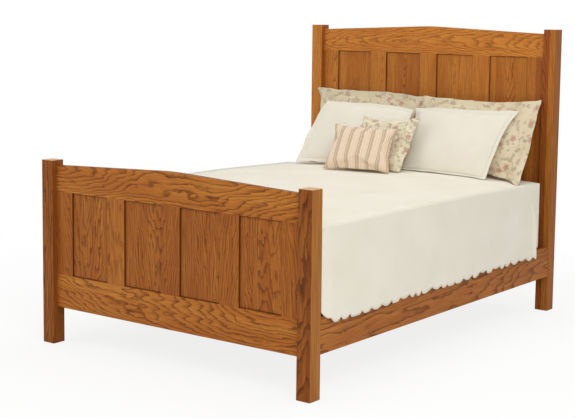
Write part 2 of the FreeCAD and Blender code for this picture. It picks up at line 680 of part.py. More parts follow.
def hem_cutter(foot_y, head_y, bottom):
    """Everything below the scalloped hem: a row of shallow arcs and a rounded corner at the foot."""
    x = -BED_WIDTH
    cusp_z = HEM_Z + SCALLOP_DEPTH
    corner_y = foot_y + COVERLET_CORNER
    corner_z = cusp_z + COVERLET_CORNER
    turn = COVERLET_CORNER * (1 - math.sqrt(0.5))
    step = (head_y - corner_y) / SCALLOP_COUNT
    edges = [Part.Arc(V(x, foot_y, corner_z), V(x, foot_y + turn, cusp_z + turn),
                      V(x, corner_y, cusp_z)).toShape()]
    for index in range(SCALLOP_COUNT):
        start = corner_y + step * index
        edges.append(Part.Arc(V(x, start, cusp_z), V(x, start + step / 2, HEM_Z),
                              V(x, start + step, cusp_z)).toShape())
    corners = [V(x, head_y, cusp_z), V(x, head_y, bottom), V(x, foot_y, bottom), V(x, foot_y, corner_z)]
    for first, second in zip(corners, corners[1:]):
        edges.append(Part.LineSegment(first, second).toShape())
    return Part.Face(Part.Wire(edges)).extrude(V(2 * BED_WIDTH, 0, 0))


def coverlet():
    """Quilted coverlet: crowned top, two side drops with scalloped hems, and a tuck at the foot."""
    outer_foot = MATTRESS_FOOT_Y - REST_GAP - COVERLET_THICKNESS
    inner_foot = MATTRESS_FOOT_Y - REST_GAP
    head_y = MATTRESS_HEAD_Y - COVERLET_HEAD_SHORT
    bottom = HEM_Z - SCALLOP_DEPTH
    outer = Part.Face(drape_section(0, outer_foot, bottom)).extrude(V(0, head_y - outer_foot, 0))
    hollow = Part.Face(drape_section(COVERLET_THICKNESS, inner_foot, bottom - PICK))
    hollow = hollow.extrude(V(0, head_y - inner_foot + PICK, 0))
    shell = outer.cut(hollow)
    drop_foot = MATTRESS_FOOT_Y
    tuck_x = POST_INNER_X - FOOT_TUCK_SIDE_GAP
    tools = [hem_cutter(drop_foot, head_y, bottom - PICK)]
    for side in (-1, 1):
        tools.append(block(span(side * tuck_x, side * BED_WIDTH), (outer_foot - PICK, drop_foot),
                           (bottom - PICK, COVERLET_TOP + PICK)))
    tools.append(block((-BED_WIDTH, BED_WIDTH), (outer_foot - PICK, inner_foot),
                       (bottom - PICK, COVERLET_TOP - FOOT_TUCK)))
    return cut(shell, tools)


# ---------------------------------------------------------------- pillows
def lens_section(middle, half_width, half_loft, height):
    """Section of a filled pillow: two shallow arcs that meet at the side seams."""
    left = V(middle - half_width, 0, height)
    right = V(middle + half_width, 0, height)
    return Part.Wire([
        Part.Arc(left, V(middle, -half_loft, height), right).toShape(),
        Part.Arc(right, V(middle, half_loft, height), left).toShape(),
    ])


def pillow(width, height, loft, flange, drift):
    """A pillow standing on its lower edge: crowned both ways, drawn in at the sides, with any flange."""
    inner_width = width - 2 * flange
    inner_height = height - 2 * flange
    sections = []
    for share, fullness in ((0, 0.1), (0.1, 0.5), (0.28, 0.87), (0.5, 1), (0.72, 0.87), (0.9, 0.5), (1, 0.1)):
        half_width = inner_width / 2 - DRAW_IN * math.sin(math.pi * share)
        sections.append(lens_section(drift * (share - 0.5), half_width, fullness * loft / 2,
                                     flange + share * inner_height))
    body = Part.makeLoft(sections, True, False)
    if flange == 0:
        return body
    front = -FLANGE_THICKNESS / 2
    half = width / 2
    edge = prism([V(-half - drift / 2, front, 0), V(half - drift / 2, front, 0),
                  V(half + drift / 2, front, height), V(-half + drift / 2, front, height)],
                 V(0, FLANGE_THICKNESS, 0))
    return body.fuse(edge)


def lean_on_bed(shape, lean, x, y, nearest_x):
    """Tip a pillow back and stand it on the coverlet."""
    shape.rotate(V(0, 0, 0), V(1, 0, 0), -lean)
    lift = crown(nearest_x, COVERLET_TOP) + REST_GAP - shape.BoundBox.ZMin
    shape.translate(V(x, y, lift))
    return shape


def pair_of_pillows(name, width, height, loft, flange, lean, drift, between, y):
    """Left and right pillows of a pair, side by side."""
    for side, word in ((-1, "left"), (1, "right")):
        x = side * (width + between) / 2
        inner_edge = between / 2 - abs(drift) / 2
        piece = pillow(width, height, loft, flange, drift)
        save(name + "_" + word, lean_on_bed(piece, lean, x, y, inner_edge))


# ---------------------------------------------------------------- the whole bed
def main():
    os.makedirs("parts", exist_ok=True)

    end_frame("headboard", 1, HEAD_FRAME_Y, HEAD_PANEL_TOP)
    end_frame("footboard", -1, FOOT_FRAME_Y, FOOT_PANEL_TOP)
    head_post = post(1, HEAD_POST_TOP, HEAD_FRAME_Y, HEAD_PANEL_TOP)
    foot_post = post(-1, FOOT_POST_TOP, FOOT_FRAME_Y, FOOT_PANEL_TOP)
    save("head_post_right", head_post)
    save("head_post_left", mirror_x(head_post))
    save("foot_post_right", foot_post)
    save("foot_post_left", mirror_x(foot_post))
    glides = [post_glide(end) for end in (-1, 1)]
    save("post_glides", glides + [mirror_x(piece) for piece in glides])

    rail = side_rail()
    save("side_rail_right", rail)
    save("side_rail_left", mirror_x(rail))
    ledger = cleat()
    save("cleat_right", ledger)
    save("cleat_left", mirror_x(ledger))
    hooks = [hook_plate(end) for end in (-1, 1)]
    save("rail_hook_plates", hooks + [mirror_x(piece) for piece in hooks])
    slots = [slot_plate(end) for end in (-1, 1)]
    save("post_slot_plates", slots + [mirror_x(piece) for piece in slots])
    plate_screws = []
    for end in (-1, 1):
        for way in (-1, 1):
            plate_screws += [screw(head, V(0, way, 0), PLATE_SCREW_LENGTH) for head in plate_screw_heads(end)]
    save("plate_screws", plate_screws + [mirror_x(piece) for piece in plate_screws])
    cleat_screws = [screw(head, V(1, 0, 0), CLEAT_SCREW_LENGTH) for head in cleat_screw_heads()]
    save("cleat_screws", cleat_screws + [mirror_x(piece) for piece in cleat_screws])

    slat_screws = []
    for index, y in enumerate(slat_places()):
        save("slat_%d" % (index + 1), slat(y))
        slat_screws += [screw(head, V(0, 0, -1), SLAT_SCREW_LENGTH) for head in slat_screw_heads(y)]
    save("slat_screws", slat_screws)

    save("centre_beam", centre_beam())
    save("beam_brackets", [beam_bracket(end) for end in (-1, 1)])
    bracket_screws = []
    for end in (-1, 1):
        heads = bracket_screw_heads(end)
        bracket_screws += [screw(head, V(0, end, 0), BRACKET_SCREW_LENGTH) for head in heads]
    save("bracket_screws", bracket_screws)
    for side, word in ((-1, "foot"), (1, "head")):
        save("centre_leg_" + word, centre_leg(side))
        save("leveller_" + word, leveller(side))
    save("leg_dowels", [leg_dowel(side) for side in (-1, 1)])
    save("leg_inserts", [leg_insert(side) for side in (-1, 1)])

    save("box_spring", box_spring())
    save("mattress", mattress())
    save("coverlet", coverlet())
    pair_of_pillows("sham", SHAM_WIDTH, SHAM_HEIGHT, SHAM_LOFT, SHAM_FLANGE, SHAM_LEAN,
                    SHAM_DRIFT, SHAM_BETWEEN, SHAM_Y)
    pair_of_pillows("pillow", PILLOW_WIDTH, PILLOW_HEIGHT, PILLOW_LOFT, PILLOW_FLANGE, PILLOW_LEAN,
                    PILLOW_DRIFT, PILLOW_BETWEEN, PILLOW_Y)
    floral = pillow(FLORAL_WIDTH, FLORAL_HEIGHT, FLORAL_LOFT, 0, 0)
    save("floral_cushion", lean_on_bed(floral, FLORAL_LEAN, FLORAL_X, FLORAL_Y, 0))
    striped = pillow(STRIPED_WIDTH, STRIPED_HEIGHT, STRIPED_LOFT, 0, STRIPED_DRIFT)
    save("striped_cushion", lean_on_bed(striped, STRIPED_LEAN, STRIPED_X, STRIPED_Y, 0))


main()
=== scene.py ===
"""Panel bed in stained oak, made up with a coverlet, two shams, two pillows and two cushions."""

import math

import bmesh
import bpy
from mathutils import Matrix, Vector, noise


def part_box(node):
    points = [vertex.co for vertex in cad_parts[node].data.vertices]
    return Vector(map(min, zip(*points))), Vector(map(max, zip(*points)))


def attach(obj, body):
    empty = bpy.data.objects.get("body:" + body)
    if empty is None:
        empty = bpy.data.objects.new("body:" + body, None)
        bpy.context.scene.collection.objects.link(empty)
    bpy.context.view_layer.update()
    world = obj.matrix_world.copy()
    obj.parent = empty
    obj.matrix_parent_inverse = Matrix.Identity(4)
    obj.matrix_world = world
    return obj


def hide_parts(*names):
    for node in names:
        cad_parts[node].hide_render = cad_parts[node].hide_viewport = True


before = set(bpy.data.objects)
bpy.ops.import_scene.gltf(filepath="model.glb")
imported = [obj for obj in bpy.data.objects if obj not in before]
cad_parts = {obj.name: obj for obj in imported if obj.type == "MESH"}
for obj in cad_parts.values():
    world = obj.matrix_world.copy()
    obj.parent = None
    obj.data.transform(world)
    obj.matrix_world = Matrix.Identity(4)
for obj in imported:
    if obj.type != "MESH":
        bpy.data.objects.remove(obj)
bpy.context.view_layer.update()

# ---- sizes of the bed, in metres
MATTRESS_HALF = 0.762
RAIL_TOP = 0.352
POST_FACE = 0.8006
HEAD_POST_FACE = 1.052
HEAD_POST_INNER = 0.722
HEADBOARD_FACE = 1.078
PANEL_IN_GROOVE = 0.009

# ---- sizes of the coverlet, in metres
COVER_TOP = 0.7349
COVER_THICK = 0.005
CROWN = 0.012
HEAD_SAG = 0.016
# Where the top turns down at the foot, where the side drops end at the foot posts, and the head edge.
FOOT_Y = -1.043
DROP_FOOT_Y = -1.0515
HEAD_Y = 0.975
# The rounding over the mattress's side, and how far out the drop hangs at its top and at its hem.
SHOULDER = 0.070
SIDE_HIGH = 0.802
SIDE_LOW = 0.811
# The tuck between the mattress and the footboard.
TUCK = 0.250
TUCK_HALF = 0.716
TUCK_FADE = 0.045
FOOT_TURN = 0.025
FOOT_GAP = 0.003
# Near the head the drop folds in against the mattress. The fold leans towards the head on its way down.
HEAD_FOLD = 0.868
FOLD_LEAN = 0.040
FOLD_WIDTH = 0.028
TIGHT_SIDE = 0.7725
TIGHT_SHOULDER = 0.055
PLEAT_WIDTH = 0.014
PLEAT_DEPTH = 0.010
# The scalloped hem: its lowest line, how it rises round the corner at the foot post, and its finished edge.
HEM = 0.318
SCALLOPS = 28
SCALLOP_DEPTH = 0.019
HEM_CORNER = 0.105
HEM_RISE = 0.050
HEM_EDGE = 0.011
# Where the drop folds in, its hem steps up to just above the side rail.
HEM_STEP = 0.012
RAIL_GAP = 0.006
# Slow folds of the side drops, and the top's slight unevenness.
FOLDS = 0.006
RUMPLE = 0.0016
# Half the cloth's width, laid flat.
COVERLET_HALF = 1.178
# Share of the grid's columns, and share of the cloth's run from the middle that they reach.
COLUMN_SHARES = ((0.0, 0.0), (0.42, 0.60), (0.62, 0.74), (1.0, 1.0))

# ---- sizes of the other soft pieces, in metres
SHELL_CELL = 0.0105
SHELL_WRINKLE = 0.0012
PUFF_CAP = 0.03
# The flange's waves out of its plane, the ripples of its lower edge, and how it is sewn in.
FLANGE_WAVE = 0.008
FLANGE_RIPPLE = 0.016
FLANGE_THICK = 0.0025
FLANGE_UNDER_SEAM = 0.008
# How near to the headboard and to the coverlet a pillow starts to give way.
WALL_STOP = 0.010
BED_STOP = 0.012
OFF_THE_BED = 0.0015
CORD_RADIUS = 0.0045
CORD_SINK = 0.0035
# The mattress's stitching: how deep it pulls and over what share of a lozenge, and the border's channels.
QUILT_DEPTH = 0.007
QUILT_SEAM = 0.35
CHANNELS = 3
CHANNEL_DEPTH = 0.003
STRIPE_REPEAT = 0.066
TICKING_REPEAT = 0.045


# ---- colours and node helpers
def stain(red, green, blue, tone=1.0):
    """A colour written as it shows on a screen, 0 to 255, as the shader wants it."""
    def linear(channel):
        share = channel / 255
        return tone * (share / 12.92 if share <= 0.04045 else ((share + 0.055) / 1.055) ** 2.4)
    return (linear(red), linear(green), linear(blue), 1.0)


class Finish:
    """A node material being put together on one Principled shader."""

    def __init__(self, name, roughness=0.6, **constants):
        self.material = bpy.data.materials.new(name)
        self.material.use_nodes = True
        self.tree = self.material.node_tree
        self.shader = self.tree.nodes["Principled BSDF"]
        self.shader.inputs["Roughness"].default_value = roughness
        for socket, value in constants.items():
            self.shader.inputs[socket.replace("_", " ")].default_value = value

    def put(self, kind, *values, out=0, **settings):
        """A node with its first inputs filled in order: one of its outputs."""
        node = self.tree.nodes.new("ShaderNode" + kind)
        for name, value in settings.items():
            setattr(node, name, value)
        for socket, value in zip(node.inputs, values):
            self.feed(socket, value)
        return node.outputs[out]

    def feed(self, socket, value):
        if isinstance(value, bpy.types.NodeSocket):
            self.tree.links.new(value, socket)
        elif value is not None:
            socket.default_value = value

    def node(self, kind, **inputs):
        """A node with inputs filled by name."""
        node = self.tree.nodes.new("ShaderNode" + kind)
        for name, value in inputs.items():
            self.feed(node.inputs[name], value)
        return node

    def math(self, operation, *values):
        return self.put("Math", *values, operation=operation)

    def plus(self, first, second):
        return self.math("ADD", first, second)

    def minus(self, first, second):
        return self.math("SUBTRACT", first, second)

    def times(self, first, second):
        return self.math("MULTIPLY", first, second)

    def vector(self, operation, first, second=None):
        return self.put("VectorMath", first, second, operation=operation, out=1 if operation == "LENGTH" else 0)

    def stretched(self, where, scale):
        return self.vector("MULTIPLY", where, scale)

    def shift(self, coloured, reach):
        """A coloured noise as a shift of up to half of reach each way."""
        return self.stretched(self.vector("SUBTRACT", coloured, (0.5, 0.5, 0.5)), reach)

    def noise(self, where, scale, detail=2.0, roughness=0.5, colour=False):
        """A noise with scale spots to the metre, one figure or one for each axis."""
        if isinstance(scale, tuple):
            where, scale = self.stretched(where, scale), 1.0
        node = self.node("TexNoise", Vector=where, Scale=scale, Detail=detail, Roughness=roughness)
        return node.outputs["Color" if colour else "Fac"]

    def ramp(self, factor, *stops, interpolation="LINEAR"):
        node = self.node("ValToRGB", Fac=factor)
        band = node.color_ramp
        band.interpolation = interpolation
        while len(band.elements) < len(stops):
            band.elements.new(1.0)
        for element, (place, value) in zip(band.elements, stops):
            element.position = place
            element.color = value if isinstance(value, tuple) else (value, value, value, 1.0)
        return node.outputs["Color"]

    def mix(self, factor, first, second):
        node = self.tree.nodes.new("ShaderNodeMix")
        node.data_type = "RGBA"
        node.clamp_factor = True
        self.feed(node.inputs[0], factor)
        self.feed(node.inputs[6], first)
        self.feed(node.inputs[7], second)
        return node.outputs[2]

    def mottled(self, grain, first, second):
        """Two colours that run into each other with a noise."""
        return self.mix(self.between(grain, 0.3, 0.7), first, second)

    def between(self, value, low, high, to_low=0.0, to_high=1.0):
        return self.put("MapRange", value, low, high, to_low, to_high)

    def parts(self, vector):
        return self.node("SeparateXYZ", Vector=vector).outputs

    def object_place(self):
        return self.put("TexCoord", out=3)

    def cloth_place(self):
        return self.put("UVMap", uv_map="cloth")

    def finish(self, colour, roughness=None, height=None, depth=0.001, strength=1.0):
        self.feed(self.shader.inputs["Base Color"], colour)
        if roughness is not None:
            self.feed(self.shader.inputs["Roughness"], roughness)
        if height is not None:
            node = self.node("Bump", Strength=strength, Distance=depth, Height=height)
            self.feed(self.shader.inputs["Normal"], node.outputs["Normal"])
        return self.material


def dress(node, material):
    """Gives a node's object one material."""
    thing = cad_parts[node]
    if not thing.material_slots:
        thing.data.materials.append(material)
    for place in thing.material_slots:
        place.material = material


# ---- wood
OAK_LIGHT = (196, 130, 54)
OAK_MID = (176, 106, 40)
OAK_RED = (152, 80, 30)
OAK_DARK = (82, 34, 8)
OAK_GOLD, OAK_BROWN, OAK_RUST = (196, 130, 58), (164, 98, 38), (124, 58, 24)
# End grain of the post tops, lightened further as a painted highlight from above.
END_GRAIN_AND_TOP_HIGHLIGHT = (214, 176, 138)

GLUE_LINE = 0.0004
# How far apart along a log two boards' grain starts.
LOG_STEP = 0.37
# How far the rings bend slowly along a board and shake from one to the next, in metres.
BEND = 0.07
SHAKE = 0.012
POST_TONES = {"foot_post_left": 0.84, "foot_post_right": 0.79, "head_post_left": 1.12, "head_post_right": 1.0}
# Of each rail: log number, depth, tilt and place in the log, rings to the metre, and how far the rings wander.
RAIL_LOGS = {
    "headboard_top_rail": (13, 0.040, 0.040, 0.010, 235.0, 1.0),
    "headboard_bottom_rail": (14, 0.042, 0.035, 0.020, 225.0, 1.0),
    "footboard_top_rail": (235, 0.036, 0.035, 0.0, 220.0, 1.15),
    "footboard_bottom_rail": (255, 0.036, 0.035, 0.0, 235.0, 1.15),
}
# Where a board is glued, as a share of its width, and the tints left of it, right of it and on the side faces.
BOARD_TINTS = {
    "headboard_top_rail": (0.50, 0.25, 0.25, 0.25),
    "foot_post_right": (0.66, 0.0, -0.45, 1.0),
    "foot_post_left": (0.30, -0.25, -0.10, -0.15),
    "head_post_right": (0.50, -0.35, 0.50, 0.10),
    "head_post_left": (0.40, 0.85, 0.70, 0.0),
    "headboard_panel_1": (0.62, 0.05, -0.10, 0.0),
    "headboard_panel_2": (0.30, 0.0, -0.20, 0.0),
    "headboard_panel_3": (0.44, 0.05, 0.35, 0.0),
    "headboard_panel_4": (0.18, 0.40, -0.15, 0.0),
    "headboard_mullion_1": (0.45, 0.0, 0.15, 0.0),
    "headboard_mullion_2": (0.60, 0.30, 0.10, 0.0),
    "headboard_mullion_3": (0.70, 0.25, 0.10, 0.0),
    "headboard_stile_right": (0.50, -0.15, -0.60, -0.60),
    "footboard_panel_1": (0.55, -0.12, 0.0, 0.0),
    "footboard_panel_3": (0.45, -0.20, -0.05, 0.0),
    "footboard_panel_4": (0.70, -0.12, 0.05, 0.0),
    "footboard_mullion_1": (0.20, 0.10, 0.30, 0.0),
    "footboard_mullion_2": (0.60, -0.10, -0.20, 0.0),
}
# Which way the grain runs, and which way lies across the board's face.
UP = (Vector((0, 0, 1)), Vector((1, 0, 0)))
ACROSS = (Vector((1, 0, 0)), Vector((0, 0, 1)))
LENGTHWISE = (Vector((0, 1, 0)), Vector((0, 0, 1)))


def sawn(finish, node, way, number, depth, tilt, aside=0.0):
    """Coordinates of one board, measured from the heart of the log that it was sawn from: along, across, out."""
    low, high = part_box(node)
    along, across = way
    out = along.cross(across)
    turn = Matrix.Rotation(tilt, 3, across) @ Matrix.Rotation(tilt * 0.35 * math.sin(number), 3, out)
    axes = Matrix((turn @ along, turn @ across, turn @ out)).transposed()
    heart = (low + high) / 2 + across * aside - out * depth + along * (LOG_STEP * number)
    mapping = finish.node("Mapping", Vector=finish.object_place(), Location=heart, Rotation=axes.to_euler())
    mapping.vector_type = "TEXTURE"
    return mapping.outputs["Vector"]


def board_tint(finish, node):
    """From -1, deep red, to 1, golden: two boards glued side by side, and the faces at right angles to them."""
    line, left, right, side = BOARD_TINTS[node]
    low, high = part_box(node)
    line = low.x + (high.x - low.x) * line
    board = finish.between(finish.parts(finish.object_place())["X"], line - GLUE_LINE, line + GLUE_LINE, left, right)
    facing = finish.math("ABSOLUTE", finish.parts(finish.put("TexCoord", out=1))["X"])
    return finish.between(facing, 0.5, 0.8, board, side)


def oak(node, way, number, depth, tilt, aside, warmth, rings, contrast, wander, shade=None, tone=1.0):
    """Dresses a node in flat-sawn stained oak: rings that show as flames, dark pores and fine streaks.

    number sets the place along the log. depth, tilt and aside say how the board lay in it, rings is their number
    to the metre and wander how far they stray. shade adds painted shade to the recesses and along panel edges."""
    finish = Finish("oak " + node, Specular_IOR_Level=0.12)
    light, mid, red, deep = (stain(*colour, tone) for colour in (OAK_LIGHT, OAK_MID, OAK_RED, OAK_DARK))
    board = sawn(finish, node, way, number, depth, tilt, aside)
    bent = finish.noise(board, (1.1, 3.0, 3.0), detail=1.0, colour=True)
    bent = finish.shift(bent, (0.0, BEND * wander, BEND * wander))
    shake = finish.noise(board, (7.0, 18.0, 18.0), detail=3.0, roughness=0.55, colour=True)
    shake = finish.shift(shake, (0.0, SHAKE, SHAKE))
    place = finish.vector("ADD", finish.vector("ADD", board, bent), shake)
    radius = finish.vector("LENGTH", finish.stretched(place, (0.0, 1.0, 1.0)))
    year = finish.noise(board, (0.8, 14.0, 14.0), detail=2.0)
    radius = finish.plus(radius, finish.times(year, 0.02))
    phase = finish.math("FRACT", finish.times(radius, rings))
    ring = finish.ramp(phase, (0.0, 0.1), (0.07, 1.0), (0.20, 0.75), (0.45, 0.15), (0.9, 0.0), (1.0, 0.1))
    streak = finish.noise(board, (4.0, 230.0, 230.0), detail=2.0)
    pores = finish.noise(board, (36.0, 850.0, 850.0), detail=1.0)
    pores = finish.ramp(pores, (0.50, 0.0), (0.64, 1.0))
    pored = finish.times(pores, finish.between(ring, 0.0, 1.0, 0.2, 1.0))
    ground = finish.mix(finish.between(year, 0.35, 0.65), light, mid)
    ground = finish.mix(finish.between(streak, 0.35, 0.7, warmth * 0.5, min(1.0, warmth + 0.5)), ground, red)
    dark = finish.times(ring, contrast)
    dark = finish.times(dark, finish.between(streak, 0.3, 0.65, 0.55, 1.1))
    colour = finish.mix(dark, ground, deep)
    colour = finish.mix(finish.times(pored, 0.5), colour, deep)
    if node in BOARD_TINTS:
        tint = board_tint(finish, node)
        gold = finish.mottled(streak, stain(*OAK_GOLD, tone), stain(*OAK_BROWN, tone))
        colour = finish.mix(finish.math("MAXIMUM", tint, 0.0), colour, gold)
        rust = stain(*OAK_RUST, tone)
        colour = finish.mix(finish.times(finish.math("MINIMUM", tint, 0.0), -1.0), colour, rust)
    # The posts' upward faces: end grain with a painted highlight, lighter as if lit from above.
    if node in POST_TONES:
        upward = finish.parts(finish.put("TexCoord", out=1))["Z"]
        colour = finish.mix(finish.between(upward, 0.5, 0.8, 0.0, 0.8), colour, stain(*END_GRAIN_AND_TOP_HIGHLIGHT))
    rough = finish.plus(finish.times(dark, 0.14), 0.42)
    # Painted shade: the shade mask darkens the recesses and panel edges towards deep brown.
    if shade:
        colour = finish.mix(shade(finish), colour, deep)
    height = finish.minus(1.0, finish.plus(finish.times(dark, 0.4), pored))
    dress(node, finish.finish(colour, rough, height, depth=0.00025, strength=0.5))


def painted_recess_shade(middle):
    """Painted shade on the narrow sides of the recesses round the panels, either side of a frame's middle plane."""
    def shade(finish):
        parts = finish.parts(finish.object_place())
        deep = finish.math("ABSOLUTE", finish.minus(parts["Y"], middle))
        return finish.between(deep, 0.0085, 0.0098, 0.8, 0.0)
    return shade


def painted_panel_edge_shade(low, high):
    """Painted shade along the edges of a panel, just inside the frame round it."""
    def shade(finish):
        parts = finish.parts(finish.object_place())
        shares = []
        for axis in ("X", "Z"):
            start, end = getattr(low, axis.lower()), getattr(high, axis.lower())
            away = finish.math("ABSOLUTE", finish.minus(parts[axis], (start + end) / 2))
            half = (end - start) / 2 - PANEL_IN_GROOVE
            shares.append(finish.between(away, half - 0.007, half - 0.001, 0.0, 0.75))
        return finish.math("MAXIMUM", *shares)
    return shade


def pine(node, way, number):
    """Dresses a node in planed softwood with faint rings."""
    finish = Finish("pine " + node, Specular_IOR_Level=0.3)
    board = sawn(finish, node, way, number, depth=0.05, tilt=0.03)
    wander = finish.noise(board, (2.0, 8.0, 8.0), detail=2.0)
    radius = finish.vector("LENGTH", finish.stretched(board, (0.0, 1.0, 1.0)))
    radius = finish.plus(radius, finish.times(wander, 0.05))
    phase = finish.math("FRACT", finish.times(radius, 210.0))
    ring = finish.ramp(phase, (0.0, 0.0), (0.7, 0.35), (0.95, 1.0), (1.0, 0.0))
    streak = finish.noise(board, (6.0, 240.0, 240.0), detail=2.0)
    colour = finish.mix(finish.times(ring, 0.55), stain(222, 190, 142), stain(178, 128, 76))
    colour = finish.mix(finish.between(streak, 0.3, 0.7, 0.0, 0.35), colour, stain(200, 160, 108))
    rough = finish.between(streak, 0.3, 0.7, 0.5, 0.62)
    dress(node, finish.finish(colour, rough, ring, depth=0.0002, strength=0.4))


def grained(name, tint, shade, grains, spots, smooth, rough, detail, strength, **constants):
    """Metal or plastic with fine grains and wider spots, both to the metre, from smooth to rough."""
    finish = Finish(name, **constants)
    grain = finish.noise(finish.object_place(), grains, detail)
    wide = finish.noise(finish.object_place(), spots)
    colour = finish.mottled(wide, tint, shade)
    return finish.finish(colour, finish.between(grain, 0.3, 0.7, smooth, rough), grain, 0.0001, strength)


def nylon(name, tint, shade):
    """Moulded nylon with a fine matt texture."""
    return grained(name, tint, shade, grains=900.0, spots=30.0, smooth=0.42, rough=0.6, detail=2.0, strength=0.6)


def dress_frame():
    """Materials of every wood, metal and plastic piece."""
    for end, number, warmth, tone in (("headboard", 3, 0.15, 1.12), ("footboard", 41, 0.42, 0.98)):
        low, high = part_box(end + "_bottom_rail")
        # Painted shade: the frame pieces darken in the narrow recesses round the panels.
        recess_shade = painted_recess_shade((low.y + high.y) / 2)
        for word in ("stile_left", "stile_right", "mullion_1", "mullion_2", "mullion_3"):
            number += 1
            oak(end + "_" + word, UP, number, depth=0.10, tilt=0.035, aside=0.02, warmth=warmth, rings=245.0,
                contrast=0.6, shade=recess_shade, tone=tone, wander=0.45)
        for index, depth in enumerate((0.10, 0.07, 0.035, 0.045), 1):
            number += 1
            node = "%s_panel_%d" % (end, index)
            # Each panel gets painted shade along its edges.
            oak(node, UP, number, depth=depth, tilt=0.03, aside=0.03 * math.sin(number), warmth=warmth,
                rings=300.0, contrast=0.70, shade=painted_panel_edge_shade(*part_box(node)), tone=tone, wander=0.45)
        for word in ("top_rail", "bottom_rail"):
            node = "%s_%s" % (end, word)
            log, depth, tilt, aside, rings, bend = RAIL_LOGS[node]
            oak(node, ACROSS, log, depth=depth, tilt=tilt, aside=aside, warmth=warmth / 3, rings=rings,
                contrast=0.76, shade=recess_shade, tone=1.1 * tone, wander=bend)
    for side, number in (("left", 91), ("right", 97)):
        oak("side_rail_" + side, LENGTHWISE, number, depth=0.042, tilt=0.018, aside=0.02, warmth=0.35,
            rings=165.0, contrast=0.75, wander=0.6)
        for end in ("head", "foot"):
            number += 2
            node = "%s_post_%s" % (end, side)
            oak(node, UP, number, depth=0.06, tilt=0.03, aside=0.004, warmth=0.7, rings=210.0, contrast=0.88,
                tone=POST_TONES[node], wander=0.7)
        pine("cleat_" + side, LENGTHWISE, number)
    for index in range(1, 6):
        pine("slat_%d" % index, ACROSS, 5 + index)
    pine("centre_beam", LENGTHWISE, 17)
    for end in ("foot", "head"):
        pine("centre_leg_" + end, UP, 21)
        dress("leveller_" + end, nylon("leveller plastic", stain(38, 38, 40), stain(52, 52, 54)))
    pine("leg_dowels", UP, 29)
    zinc = grained("zinc steel", stain(196, 196, 190), stain(150, 150, 146), grains=420.0, spots=35.0,
                   smooth=0.28, rough=0.48, detail=3.0, strength=0.5, Metallic=1.0)
    for node in ("rail_hook_plates", "post_slot_plates", "plate_screws", "cleat_screws", "slat_screws",
                 "beam_brackets", "bracket_screws", "leg_inserts"):
        dress(node, zinc)
    dress("post_glides", nylon("glide nylon", stain(92, 74, 56), stain(112, 92, 70)))


# ---- cloth finishes
COTTON = {"Sheen_Weight": 0.15, "Sheen_Roughness": 0.5, "Specular_IOR_Level": 0.2}
SMOOTH_COTTON = {"Sheen_Weight": 0.2, "Sheen_Roughness": 0.4, "Specular_IOR_Level": 0.25}


def matelasse():
    """Cream coverlet cloth, woven in small puffed lozenges."""
    finish = Finish("cream matelasse", 0.85, **COTTON)
    cloth = finish.cloth_place()
    turned = finish.put("Mapping", cloth, None, (0.0, 0.0, math.radians(45)), (55.0, 55.0, 1.0))
    cells = finish.node("TexVoronoi", Vector=turned, Scale=1.0, Randomness=0.25)
    lozenge = finish.minus(1.0, cells.outputs["Distance"])
    weave = finish.noise(cloth, 900.0, 2.0)
    wide = finish.noise(cloth, 4.0, 3.0)
    colour = finish.mottled(wide, stain(238, 233, 219), stain(232, 226, 210))
    # Painted shade: the cloth darkens in the sunken lines between the puffed lozenges.
    colour = finish.mix(finish.between(lozenge, 0.35, 0.75, 0.12, 0.0), colour, stain(226, 217, 198))
    edge = finish.math("ABSOLUTE", finish.parts(cloth)["X"])
    colour = finish.mix(finish.between(edge, COVERLET_HALF - HEM_EDGE, COVERLET_HALF - 0.007, 0.0, 0.6), colour,
                        stain(238, 222, 198))
    height = finish.plus(lozenge, finish.times(weave, 0.25))
    return finish.finish(colour, None, height, depth=0.0012, strength=0.4)


def cream_cotton():
    """Smooth cream cotton, faintly slubbed."""
    finish = Finish("cream cotton", 0.8, **SMOOTH_COTTON)
    cloth = finish.cloth_place()
    slub = finish.noise(cloth, (30.0, 700.0, 1.0), detail=2.0)
    weave = finish.noise(cloth, 1400.0, 1.0)
    wide = finish.noise(cloth, 6.0, 2.0)
    colour = finish.mottled(wide, stain(230, 225, 211), stain(225, 219, 204))
    colour = finish.mix(finish.between(slub, 0.45, 0.8, 0.0, 0.2), colour, stain(226, 217, 198))
    height = finish.plus(finish.times(slub, 0.5), weave)
    return finish.finish(colour, None, height, depth=0.0003, strength=0.5)


